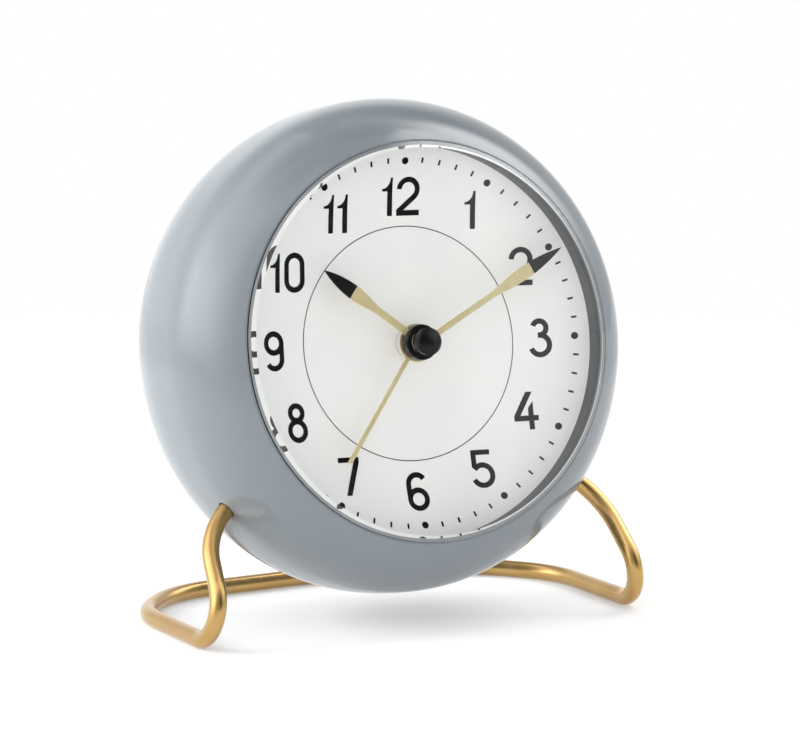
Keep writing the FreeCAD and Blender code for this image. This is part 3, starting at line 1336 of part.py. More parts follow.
os.makedirs("parts", exist_ok=True)
for part in nodes:
    if part.Shape.isNull() or not part.Shape.isValid() or not part.Shape.Solids:
        raise RuntimeError("%s has no valid solid" % part.Label)
for part in nodes:
    part.Shape.exportStep("parts/%s.step" % part.Label)
print("%d sub-parts written" % len(nodes))
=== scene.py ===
"""Looks of a round table alarm clock on a bent brass rod.

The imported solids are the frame. This script dresses them, prints the dished dial, marks the
rear cover, and sets a pale studio with the camera where the photograph was taken from.
Sizes are in millimetres in the dial's own frame unless a name says otherwise: x to the right,
y up the dial, z out of it towards the viewer, with z = 0 at the minute ring. The studio and the
camera are in metres.
"""

import json
import logging
import math
from collections.abc import Callable
from dataclasses import dataclass
from enum import Enum
from functools import cache, partial, reduce

import bpy
import numpy as np
from bpy.types import ID, Material, Node, NodeSocket, NodeTree, Object
from mathutils import Matrix, Vector


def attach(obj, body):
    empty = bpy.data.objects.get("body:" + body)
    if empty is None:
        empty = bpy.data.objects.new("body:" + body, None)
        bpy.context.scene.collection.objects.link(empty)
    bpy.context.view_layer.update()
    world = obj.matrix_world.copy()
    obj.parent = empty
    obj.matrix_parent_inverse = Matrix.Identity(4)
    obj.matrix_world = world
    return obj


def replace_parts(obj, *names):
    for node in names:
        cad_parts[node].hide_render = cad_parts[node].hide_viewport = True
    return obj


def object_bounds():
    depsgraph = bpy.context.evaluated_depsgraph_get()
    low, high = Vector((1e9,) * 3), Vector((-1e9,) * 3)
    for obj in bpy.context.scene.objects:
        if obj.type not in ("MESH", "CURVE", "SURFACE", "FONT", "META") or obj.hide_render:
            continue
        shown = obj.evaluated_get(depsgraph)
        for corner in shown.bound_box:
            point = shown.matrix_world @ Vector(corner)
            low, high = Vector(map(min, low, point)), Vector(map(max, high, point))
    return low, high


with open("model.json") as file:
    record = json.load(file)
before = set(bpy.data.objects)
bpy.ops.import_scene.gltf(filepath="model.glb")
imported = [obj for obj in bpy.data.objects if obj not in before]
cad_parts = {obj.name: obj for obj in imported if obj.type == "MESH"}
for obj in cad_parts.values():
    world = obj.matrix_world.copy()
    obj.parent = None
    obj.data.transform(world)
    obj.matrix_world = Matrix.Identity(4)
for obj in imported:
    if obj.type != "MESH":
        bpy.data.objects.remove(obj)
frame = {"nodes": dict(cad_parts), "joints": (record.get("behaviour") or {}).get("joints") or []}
CAD_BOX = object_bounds()

LOG = logging.getLogger("table_clock")
MM = 0.001
DIAL_CENTRE = (0.0, -17.9366, 62.6170)
WHITE = (1.0, 1.0, 1.0)

Pair = tuple[float, float]
Triple = tuple[float, float, float]
Colour = Triple
Socket = NodeSocket
Value = Socket | float | tuple
Surface = tuple[np.ndarray, list]
Lay = Callable[[np.ndarray, float], np.ndarray]


def linear(red: float, green: float, blue: float) -> Colour:
    """Linear light of a display colour given in steps of 0 to 255."""
    share = np.array([red, green, blue]) / 255.0
    return tuple(np.where(share <= 0.04045, share / 12.92, ((share + 0.055) / 1.055) ** 2.4).tolist())


def link(name: str, data: ID) -> Object:
    """Add an object to the scene, at the origin.

    Args:
        name: Its name.
        data: Its mesh, lamp or camera.

    Returns:
        The new object.
    """
    thing = bpy.data.objects.new(name, data)
    bpy.context.scene.collection.objects.link(thing)
    LOG.info("%s added", name)
    return thing


class Ray(Enum):
    """Outputs of the Light Path node that this scene asks for."""

    CAMERA = "Is Camera Ray"
    GLOSSY = "Is Glossy Ray"
    TRANSMISSION = "Is Transmission Ray"
    DIFFUSE = "Is Diffuse Ray"
    SHADOW = "Is Shadow Ray"


SEEN_BY = (Ray.CAMERA, Ray.GLOSSY, Ray.TRANSMISSION)


class Graph:
    """A shader node tree under construction."""

    def __init__(self, tree: NodeTree) -> None:
        """Take a tree and empty it."""
        self.tree = tree
        tree.nodes.clear()

    @classmethod
    def of_material(cls, name: str) -> tuple[Material, "Graph"]:
        """Start a material.

        Args:
            name: Its name.

        Returns:
            The new material and its empty tree.
        """
        material = bpy.data.materials.new(name)
        material.use_nodes = True
        return material, cls(material.node_tree)

    def add(self, kind: str, inputs: dict | None = None, **settings: object) -> Node:
        """Add one node and feed it.

        Args:
            kind: The node's type without the ShaderNode prefix.
            inputs: A value or a feeding socket for each named or numbered input.
            settings: Properties of the node itself.

        Returns:
            The new node.
        """
        prefix = "" if kind.startswith("Node") else "ShaderNode"
        node = self.tree.nodes.new(prefix + kind)
        for key, value in settings.items():
            setattr(node, key, value)
        for key, value in (inputs or {}).items():
            self.feed(node.inputs[key], value)
        return node

    def feed(self, socket: Socket, value: Value) -> None:
        """Link a socket to a feeding socket, or set its plain value.

        Args:
            socket: The socket to feed.
            value: The feeding socket, a number, a vector or a colour.
        """
        if isinstance(value, Socket):
            self.tree.links.new(value, socket)
        elif socket.type == "RGBA" and len(value) == 3:
            socket.default_value = (*value, 1.0)
        else:
            socket.default_value = value

    def math(self, operation: str, first: Value, second: Value = 0.0, third: Value = 0.0) -> Socket:
        """Result of one arithmetic node."""
        inputs = {0: first, 1: second, 2: third}
        return self.add("Math", inputs, operation=operation).outputs[0]

    def vector(self, operation: str, first: Value, second: Value = (0.0, 0.0, 0.0)) -> Node:
        """One node of vector arithmetic."""
        return self.add("VectorMath", {0: first, 1: second}, operation=operation)

    def blend(self, factor: Value, first: Value, second: Value) -> Socket:
        """Colour between two colours, by a factor."""
        node = self.add("Mix", {0: factor, 6: first, 7: second}, data_type="RGBA")
        return node.outputs[2]

    def ramp(self, value: Socket, low: float, high: float, out_low: float, out_high: float) -> Socket:
        """Smooth step of a value between two marks, from one level to another."""
        inputs = {0: value, 1: low, 2: high, 3: out_low, 4: out_high}
        return self.add("MapRange", inputs, interpolation_type="SMOOTHSTEP").outputs[0]

    def fold(self, operation: str, *values: Socket) -> Socket:
        """Result of one arithmetic step after another over some values."""
        return reduce(partial(self.math, operation), values)

    def any_ray(self, *rays: Ray) -> Socket:
        """One where the ray is any of these kinds, else nought."""
        path = self.add("LightPath")
        return self.fold("MAXIMUM", *(path.outputs[ray.value] for ray in rays))


class Effect(Enum):
    """Node groups that several finishes share: name, size input, its socket type, noise detail."""

    GRAIN = ("fine_grain", "Scale", "NodeSocketFloat", 2.0)
    DRIFT = ("slow_drift", "Scale", "NodeSocketFloat", 1.0)
    BRUSHED = ("brushed_streaks", "Stretch", "NodeSocketVector", 2.0)

    def tree(self) -> NodeTree:
        """The group, built when it is first asked for.

        Grain is fine noise. Drift is broad noise whose usual range is opened out to 0 to 1.
        Brushed streaks are noise on coordinates that Stretch squeezes along the streaks.

        Returns:
            A group with the inputs Vector and Scale or Stretch, and the output Level.
        """
        name, size, kind, detail = self.value
        if name in bpy.data.node_groups:
            return bpy.data.node_groups[name]
        tree = bpy.data.node_groups.new(name, "ShaderNodeTree")
        for label, socket in (("Vector", "NodeSocketVector"), (size, kind)):
            tree.interface.new_socket(label, in_out="INPUT", socket_type=socket)
        tree.interface.new_socket("Level", in_out="OUTPUT", socket_type="NodeSocketFloat")
        graph = Graph(tree)
        given = graph.add("NodeGroupInput").outputs
        place, scale = given["Vector"], given[size]
        if self is Effect.BRUSHED:
            place, scale = graph.vector("MULTIPLY", place, scale).outputs[0], 1.0
        level = graph.add("TexNoise", {"Vector": place, "Scale": scale, "Detail": detail}).outputs[0]
        if self is Effect.DRIFT:
            usual_low, usual_high = 0.3, 0.7
            level = graph.ramp(level, usual_low, usual_high, 0.0, 1.0)
        graph.add("NodeGroupOutput", {"Level": level})
        return tree


@dataclass(frozen=True)
class Finish:
    """A finish whose display colour drifts slowly to a shade, with a fine grain that roughens it.

    Scales go by the metre, and depths are in metres.
    """

    name: str
    colour: Colour
    shade: Colour
    drift_scale: float = 90.0
    grain_scale: float = 2500.0
    grain_depth: float = 4e-6
    rough: Pair = (0.4, 0.5)
    metallic: float = 0.0
    coat: float = 0.0
    coat_rough: float = 0.05
    specular: float = 0.5

    def coords(self, graph: Graph) -> Socket:
        """Object coordinates."""
        return graph.add("TexCoord").outputs["Object"]

    def spread(self, graph: Graph, effect: Effect, size: Value) -> Socket:
        """Spread a shared effect over the piece at its own size."""
        return graph.add("Group", {0: self.coords(graph), 1: size}, node_tree=effect.tree()).outputs[0]

    def drift(self, graph: Graph) -> Socket:
        """Slow tone over the piece, 0 to 1."""
        return self.spread(graph, Effect.DRIFT, self.drift_scale)

    def grain(self, graph: Graph) -> Socket:
        """Height of the surface's grain, 0 to 1."""
        return self.spread(graph, Effect.GRAIN, self.grain_scale)

    def base(self, graph: Graph, tone: Socket) -> Socket:
        """Base colour from the slow tone."""
        return graph.blend(tone, linear(*self.colour), linear(*self.shade))

    def build(self) -> Material:
        """Make the material.

        Returns:
            A material with one Principled shader, fed by the shared effects.
        """
        material, graph = Graph.of_material(self.name)
        height = self.grain(graph)
        smooth, coarse = self.rough
        rough = graph.math("MULTIPLY_ADD", height, coarse - smooth, smooth)
        bump = graph.add("Bump", {"Height": height, "Distance": self.grain_depth, "Strength": 1.0})
        shader = graph.add("BsdfPrincipled", {
            "Base Color": self.base(graph, self.drift(graph)), "Roughness": rough,
            "Metallic": self.metallic, "Specular IOR Level": self.specular, "Coat Weight": self.coat,
            "Coat Roughness": self.coat_rough, "Normal": bump.outputs[0],
        })
        graph.add("OutputMaterial", {"Surface": shader.outputs[0]})
        return material

    @cache
    def material(self) -> Material:
        """The finish's one material, shared by all pieces that wear it."""
        return self.build()


@dataclass(frozen=True)
class Lacquer(Finish):
    """Sprayed colour under a clear gloss coat, with a trace of orange peel."""

    coat: float = 1.0
    coat_rough: float = 0.08
    specular: float = 0.0


@dataclass(frozen=True)
class BrushedMetal(Finish):
    """Metal with streaks along one direction."""

    stretch: Triple = (300.0, 300.0, 6000.0)

    def grain(self, graph: Graph) -> Socket:
        """Height of the streaks."""
        return self.spread(graph, Effect.BRUSHED, self.stretch)


@dataclass(frozen=True)
class PaintedHand(Finish):
    """Grained pale gold that turns black past a set distance from the dial's axis."""

    ink: Colour = (28.58, 28.58, 30.02)
    reach: float = 1.0
    blur: float = 0.05

    def base(self, graph: Graph, tone: Socket) -> Socket:
        """Gold inside the reach and black past it, by the distance from the dial's axis.

        Args:
            graph: The material's graph.
            tone: The slow tone.

        Returns:
            The base colour.
        """
        dial = DialFrame.from_joint()
        turned = graph.add("Mapping", {
            "Vector": self.coords(graph), "Location": dial.origin, "Rotation": dial.matrix().to_euler()[:],
        }, vector_type="TEXTURE")
        flat = graph.vector("MULTIPLY", turned.outputs[0], (1.0, 1.0, 0.0))
        far = graph.vector("LENGTH", flat.outputs[0]).outputs["Value"]
        tip = graph.ramp(far, (self.reach - self.blur) * MM, (self.reach + self.blur) * MM, 0.0, 1.0)
        return graph.blend(tip, super().base(graph, tone), linear(*self.ink))


@dataclass(frozen=True)
class ClearCrystal(Finish):
    """Clear pressed crystal that lets light through to the dial."""

    index: float = 1.49

    def build(self) -> Material:
        """Make the clear material.

        Returns:
            A transmissive material that is open to shadow rays and to light scattered off the dial.
        """
        material, graph = Graph.of_material(self.name)
        shader = graph.add("BsdfPrincipled", {
            "Base Color": self.base(graph, self.drift(graph)), "Roughness": 0.0, "IOR": self.index,
            "Transmission Weight": 1.0,
        })
        clear = graph.add("BsdfTransparent", {"Color": linear(*self.colour)})
        through = graph.any_ray(Ray.SHADOW, Ray.DIFFUSE)
        mixed = graph.add("MixShader", {0: through, 1: shader.outputs[0], 2: clear.outputs[0]})
        graph.add("OutputMaterial", {"Surface": mixed.outputs[0]})
        return material


@dataclass(frozen=True)
class Waved(Finish):
    """A finish whose grain is made of waves that follow each other at a pitch."""

    pitch: float = 1.0

    def wave(self, graph: Graph, way: str) -> Socket:
        """Waves along one axis: the texture's scale is pi / 10 over the pitch in metres."""
        inputs = {"Vector": self.coords(graph), "Scale": math.pi / 10.0 / (self.pitch * MM)}
        return graph.add("TexWave", inputs, wave_type="BANDS", bands_direction=way).outputs["Fac"]


@dataclass(frozen=True)
class WoundCopper(Waved):
    """Fine copper wire wound in turns side by side along x."""

    pitch: float = 0.25

    def grain(self, graph: Graph) -> Socket:
        """Round backs of the turns: a sine of the distance along the coil."""
        return self.wave(graph, "X")


@dataclass(frozen=True)
class FibreBoard(Waved):
    """Board laminate with the weave of its glass cloth under the green mask."""

    pitch: float = 0.6

    def grain(self, graph: Graph) -> Socket:
        """Weave: the product of two waves across each other."""
        return graph.math("MULTIPLY", self.wave(graph, "X"), self.wave(graph, "Z"))


@dataclass(frozen=True)
class DialFrame:
    """The dial's own axes, read from the minute hand's joint, with the origin in metres."""

    origin: Triple
    normal: Triple

    @classmethod
    def from_joint(cls) -> "DialFrame":
        """Read the joint's axis and turn it to point out of the dial.

        Returns:
            The frame on the minute hand's axis, at the height of the minute ring.
        """
        joint = next(j for j in frame["joints"] if j["name"] == "minute_turn")
        axis = np.array(joint["axis"], float)
        axis = axis / np.linalg.norm(axis)
        axis = axis if axis[1] < 0 else -axis
        return cls(tuple(np.array(DIAL_CENTRE) * MM), tuple(axis))

    def matrix(self) -> Matrix:
        """Turn from dial axes to the clock's axes."""
        out, right = Vector(self.normal), Vector((1.0, 0.0, 0.0))
        return Matrix((right, out.cross(right), out)).transposed()

    def place(self, points: np.ndarray) -> np.ndarray:
        """Points of shape (n, 3) of the dial frame in millimetres, as metres in the clock's frame."""
        return points * MM @ np.array(self.matrix()).T + np.array(self.origin)


def make_piece(name: str, surface: Surface, finish: Finish, body: str,
               crease: float | None = None) -> Object:
    """Put a surface into a mesh object that rides on the clock.

    Args:
        name: The piece's name.
        surface: Vertices in metres in the clock's frame, and faces turned outwards.
        finish: The finish.
        body: The body that it moves with.
        crease: Angle in degrees past which an edge stays sharp, or None for flat faces.

    Returns:
        The new object.
    """
    points, faces = surface
    mesh = bpy.data.meshes.new(name)
    mesh.from_pydata(points.tolist(), [], faces)
    if crease is not None:
        mesh.shade_smooth()
        mesh.set_sharp_from_angle(angle=math.radians(crease))
    mesh.materials.append(finish.material())
    mesh.update()
    piece = link(name, mesh)
    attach(piece, body)
    LOG.info("%s has %d faces and rides on %s", name, len(faces), body)
    return piece


def turning(degrees: float) -> np.ndarray:
    """Matrix of an anticlockwise turn in the plane."""
    angle = math.radians(degrees)
    return np.array([[math.cos(angle), -math.sin(angle)], [math.sin(angle), math.cos(angle)]])


def arc(x: float, y: float, radius: float, start: float, end: float, steps: int = 28) -> np.ndarray:
    """Points on an arc: centre plus radius times cosine and sine of an angle that runs evenly in degrees."""
    angle = np.radians(np.linspace(start, end, steps))
    return np.stack([x + radius * np.cos(angle), y + radius * np.sin(angle)], axis=1)


def ribbon(*points: Pair) -> np.ndarray:
    """Points in a row."""
    return np.array(points, float)


@dataclass(frozen=True)
class Strip:
    """A flat strip between two edges that run side by side."""

    left: np.ndarray
    right: np.ndarray
    closed: bool = False

    @classmethod
    def stroke(cls, path: np.ndarray, width: float, closed: bool = False) -> "Strip":
        """Strip of even width along a path.

        Each point moves out along the mitre, the sum of the two neighbouring normals over one plus
        their dot product, by half the width to either side.

        Args:
            path: Points of shape (n, 2).
            width: Width of the stroke.
            closed: Whether the path runs back into its start.

        Returns:
            The strip.
        """
        after = np.roll(path, -1, axis=0) - path
        if not closed:
            after[-1] = after[-2]
        after = after / np.linalg.norm(after, axis=1, keepdims=True)
        normal = np.stack([-after[:, 1], after[:, 0]], axis=1)
        before = np.roll(normal, 1, axis=0)
        if not closed:
            before[0] = normal[0]
        mitre = (normal + before) / (1.0 + (normal * before).sum(axis=1, keepdims=True))
        return cls(path + mitre * width / 2, path - mitre * width / 2, closed)

    @classmethod
    def ring(cls, height: float, radius: float, width: float, steps: int = 48) -> "Strip":
        """Strip of even width along a whole circle about a point on the upright axis."""
        return cls.stroke(arc(0.0, height, radius, 0.0, 360.0, steps + 1)[:-1], width, True)

    @classmethod
    def bar(cls, left: float, right: float, top: float, foot: float) -> "Strip":
        """Bar between two upright sides."""
        return cls(ribbon((left, top), (left, foot)), ribbon((right, top), (right, foot)))

    @classmethod
    def slant(cls, head: Pair, foot: Pair, width: float) -> "Strip":
        """Leaning bar with level ends, from the left corner of its head to that of its foot."""
        edge = ribbon(head, foot)
        return cls(edge, edge + (width, 0.0))

    def sides(self) -> tuple[np.ndarray, np.ndarray]:
        """Sort the edges by the sign of the area that the run and the width across it span.

        Returns:
            Both edges, the one on the left of the run first, whichever way round they were given.
        """
        run = np.diff((self.left + self.right) / 2, axis=0)
        across = (self.left - self.right)[:-1] + (self.left - self.right)[1:]
        area = (run[:, 0] * across[:, 1] - run[:, 1] * across[:, 0]).sum()
        return (self.left, self.right) if area > 0 else (self.right, self.left)

    def moved(self, x: float, y: float) -> "Strip":
        """The same strip at another place."""
        return Strip(self.left + (x, y), self.right + (x, y), self.closed)

    def turned(self, degrees: float) -> "Strip":
        """The same strip turned about the origin, anticlockwise."""
        turn = turning(degrees).T
        return Strip(self.left @ turn, self.right @ turn, self.closed)

    def out_to(self, ring: float, hour: float) -> "Strip":
        """The same strip moved out to a ring at an hour."""
        angle = math.radians(30.0 * hour)
        return self.moved(ring * math.sin(angle), ring * math.cos(angle))

    def mirrored(self) -> "Strip":
        """The same strip on the other side of the upright axis."""
        return Strip(self.left * (-1.0, 1.0), self.right * (-1.0, 1.0), self.closed)


def woven(rows: int, columns: int, round_rows: bool = False, round_columns: bool = False) -> np.ndarray:
    """Four-cornered faces between neighbours on a grid of points that may close round either way.

    Args:
        rows: Number of rows; point (i, j) has the number i * columns + j.
        columns: Number of points in a row.
        round_rows: Whether the last row joins the first.
        round_columns: Whether the last point of a row joins its first.

    Returns:
        Point numbers of shape (n, 4), along the row first.
    """
    row = np.arange(rows if round_rows else rows - 1)[:, None]
    column = np.arange(columns if round_columns else columns - 1)
    here, after, beside = row * columns, (row + 1) % rows * columns, (column + 1) % columns
    return np.stack([here + column, here + beside, after + beside, after + column], axis=2).reshape(-1, 4)


def revolve(section: np.ndarray, steps: int) -> Surface:
    """Carry a section of radius and height round the dial's axis.

    A point (r, z) of the section comes to (r cos t, r sin t, z) as t runs once round, so each of the
    section's edges sweeps a ring of four-cornered faces. A section that starts and ends on the axis
    keeps one point at each of these two poles, with a fan of triangles round it.

    Args:
        section: Points of shape (n, 2), anticlockwise with the radius to the right.
        steps: Number of steps round.

    Returns:
        Points in the clock's frame and faces turned outwards.
    """
    capped = bool(section[0, 0] == 0.0)
    rim = section[1:-1] if capped else section
    count = len(rim)
    turn = np.linspace(0.0, 2.0 * math.pi, steps, endpoint=False)[:, None]
    radius, height = rim[:, 0], np.broadcast_to(rim[:, 1], (steps, count))
    points = np.stack([radius * np.cos(turn), radius * np.sin(turn), height], axis=2).reshape(-1, 3)
    faces = woven(steps, count, True, not capped)[:, [0, 3, 2, 1]].tolist()
    if capped:
        poles = [(0.0, 0.0, section[0, 1]), (0.0, 0.0, section[-1, 1])]
        points = np.vstack([points, poles])
        foot, head = np.full(steps, len(points) - 2), np.full(steps, len(points) - 1)
        first = np.arange(steps) * count
        last = first + count - 1
        faces += np.stack([foot, np.roll(first, -1), first], axis=1).tolist()
        faces += np.stack([head, last, np.roll(last, -1)], axis=1).tolist()
    return DialFrame.from_joint().place(points), faces


def dome(edge: float, foot: float, top: float, steps: int = 28) -> np.ndarray:
    """Section of a shallow dome from its edge to the axis.

    The height is top - R + sqrt(R^2 - r^2) at the radius r, with R = (edge^2 + h^2) / (2 h) for
    the rise h.

    Args:
        edge: Radius of the edge.
        foot: Height of the edge.
        top: Height on the axis.
        steps: Number of points.

    Returns:
        Points of shape (steps, 2).
    """
    rise = top - foot
    big = (edge ** 2 + rise ** 2) / (2 * rise)
    radius = np.linspace(edge, 0.0, steps)
    return np.stack([radius, top - big + np.sqrt(big ** 2 - radius ** 2)], axis=1)


def plates(strips: list[Strip], lay: Lay, lift: float, sink: float) -> Surface:
    """Thin plates: a flat four-cornered profile carried along each strip.

    The tops of strips that follow each other stand a trace apart, so that none share a plane.

    Args:
        strips: The strips.
        lay: Puts flat points at a height over the surface into the dial's frame.
        lift: Height of a plate's top over the surface.
        sink: Depth of its foot under the surface.

    Returns:
        Points in the clock's frame and faces turned outwards.
    """
    trace, levels = 0.002, 4
    points, faces, start = [], [], 0
    for number, strip in enumerate(strips):
        top = lift + trace * (number % levels)
        left, right = strip.sides()
        count = len(left)
        rows = np.stack([lay(left, -sink), lay(left, top), lay(right, top), lay(right, -sink)], axis=1)
        points.append(rows.reshape(-1, 3))
        faces.extend((woven(count, 4, strip.closed, True) + start).tolist())
        if not strip.closed:
            last = start + (count - 1) * 4
            faces.append([start + 3, start + 2, start + 1, start])
            faces.append([last, last + 1, last + 2, last + 3])
        start += count * 4
    return DialFrame.from_joint().place(np.vstack(points)), faces


FIGURE_PAIRS = {10: (-2.6, 1.9), 11: (-1.1, 2.45), 12: (-2.65, 1.8)}
FIGURE_SETTING = {
    1: (-0.12, 0.44), 2: (-0.10, -0.45), 3: (-0.61, -0.11), 4: (-0.74, 0.22),
    5: (-0.61, 0.0), 6: (-0.37, 0.22), 7: (-0.28, -0.02), 8: (-0.37, 0.22),
    9: (-0.61, -0.44), 10: (-0.86, 0.0), 11: (-0.49, 0.44), 12: (-0.61, -0.55),
}


@dataclass(frozen=True)
class Numerals:
    """Plain upright figures drawn as strokes about their own middle."""

    cap: float = 4.22
    round_cap: float = 4.34
    stroke: float = 1.2
    flag: float = 1.95
    bar_foot: float = 3.1
    lone_one: float = 0.675

    def one(self) -> list[Strip]:
        """A stem, and above it a head whose left edge is a quarter ellipse from the flag to the top.

        Returns:
            The strips.
        """
        half = self.stroke / 2
        flag_foot, flag_top, past_middle = 1.2, 1.75, 0.05
        turn = np.radians(np.linspace(90.0, 0.0, 12))
        curve_x = -self.flag + (self.flag + past_middle) * np.sin(turn)
        curve_y = flag_top + (self.cap - flag_top) * (1.0 - np.cos(turn))
        left = np.vstack([np.stack([curve_x, curve_y], axis=1), [[-self.flag, flag_foot]]])
        right = np.stack([np.full(len(left), half), left[:, 1]], axis=1)
        return [Strip.bar(-half, half, flag_foot, -self.cap), Strip(left, right)]

    def two(self) -> list[Strip]:
        """A round top that runs into a straight diagonal, on a flat base.

        Returns:
            The strips.
        """
        radius = 2.2
        centre = np.array([0.05, self.round_cap - self.stroke / 2 - radius])
        foot = np.array([-2.0, -self.cap + self.stroke])
        away = foot - centre
        slope = math.degrees(math.atan2(away[1], away[0]))
        touch = slope + math.degrees(math.acos(radius / np.linalg.norm(away)))
        bend = arc(*centre, radius, 178.0, touch if touch < 90 else touch - 360.0)
        leg = Strip.stroke(np.vstack([bend, foot]), self.stroke)
        run = leg.left[-1] - leg.left[-2]
        for edge in (leg.left, leg.right):
            edge[-1] += run / run[1] * (foot[1] - edge[-1, 1])
        return [leg, Strip.bar(-2.8, 2.75, foot[1], -self.cap)]

    def three(self) -> list[Strip]:
        """Two round bowls that share a short middle arm.

        Returns:
            The strips.
        """
        waist, arm, half = 0.62, -0.4, self.stroke / 2
        upper = (self.round_cap - half - waist) / 2
        lower = (self.round_cap - half + waist) / 2
        top = np.vstack([arc(0, waist + upper, upper, 160, -90), ribbon((arm, waist))])
        bottom = np.vstack([ribbon((arm, waist)), arc(0, waist - lower, lower, 90, -160)])
        return [Strip.stroke(top, self.stroke), Strip.stroke(bottom, self.stroke)]

    def four(self) -> list[Strip]:
        """An open four: a leaning stroke, a bar, and a short stem with a slanted head across it.

        Returns:
            The strips.
        """
        bar_top, bar_foot, reach = -1.05, -2.25, 2.85
        stem_left, stem_right = 0.55, 1.75
        lean = Strip.slant((0.25, self.cap), (-reach, bar_top), 1.5)
        head = Strip(ribbon((stem_left, 0.6), (stem_left, bar_top)),
                     ribbon((stem_right, 2.1), (stem_right, bar_top)))
        stem = Strip.bar(stem_left, stem_right, bar_foot, -self.cap)
        return [lean, Strip.bar(-reach, reach, bar_top, bar_foot), head, stem]

    def five(self) -> list[Strip]:
        """A flat bar, a short stem and one round bowl.

        Returns:
            The strips.
        """
        radius, left, inner, under = 2.28, -2.35, -1.15, self.bar_foot
        bowl = arc(0.1, -self.round_cap + self.stroke / 2 + radius, radius, 143, -157, 40)
        stem = Strip(ribbon((left, under), (-2.3, 0.25)), ribbon((inner, under), (inner, 0.9)))
        return [Strip.bar(left, 2.2, self.cap, under), stem, Strip.stroke(bowl, self.stroke)]

    def six(self) -> list[Strip]:
        """A closed round bowl and a tail that curves up over it.

        Returns:
            The strips.
        """
        half, tail, bowl = self.stroke / 2, 2.02, 2.04
        high = self.round_cap - half - tail
        low = -self.round_cap + half + bowl
        rise = np.vstack([arc(0, high, tail, 32, 180), ribbon((-tail, low))])
        return [Strip.stroke(rise, self.stroke), Strip.ring(low, bowl, self.stroke)]

    def seven(self) -> list[Strip]:
        """A flat bar and a straight leaning leg."""
        leg = Strip.slant((1.25, self.bar_foot), (-1.55, -self.cap), 1.35)
        return [Strip.bar(-2.65, 2.6, self.cap, self.bar_foot), leg]

    def eight(self) -> list[Strip]:
        """Two rings, the upper one smaller."""
        edge, upper, lower = self.round_cap - self.stroke / 2, 1.58, 2.03
        return [Strip.ring(edge - upper, upper, self.stroke), Strip.ring(lower - edge, lower, self.stroke)]

    def nine(self) -> list[Strip]:
        """A six turned half round."""
        return [strip.turned(180.0) for strip in self.six()]

    def zero(self) -> list[Strip]:
        """A stadium: two half circles joined by straight sides.

        Returns:
            The strips.
        """
        radius = 2.05
        rise = self.round_cap - self.stroke / 2 - radius
        ring = np.vstack([arc(0, rise, radius, 0, 180), arc(0, -rise, radius, 180, 360)])
        return [Strip.stroke(ring, self.stroke, True)]

    def hour(self, number: int) -> list[Strip]:
        """Strips of one hour's figures, centred on their whole width.

        Args:
            number: The hour, 1 to 12.

        Returns:
            The strips.
        """
        single = (self.zero, self.one, self.two, self.three, self.four,
                  self.five, self.six, self.seven, self.eight, self.nine)
        if number == 1:
            return [s.moved(self.lone_one, 0.0) for s in self.one()]
        if number < 10:
            return single[number]()
        first, second = FIGURE_PAIRS[number]
        return ([s.moved(first, 0.0) for s in self.one()]
                + [s.moved(second, 0.0) for s in single[number - 10]()])


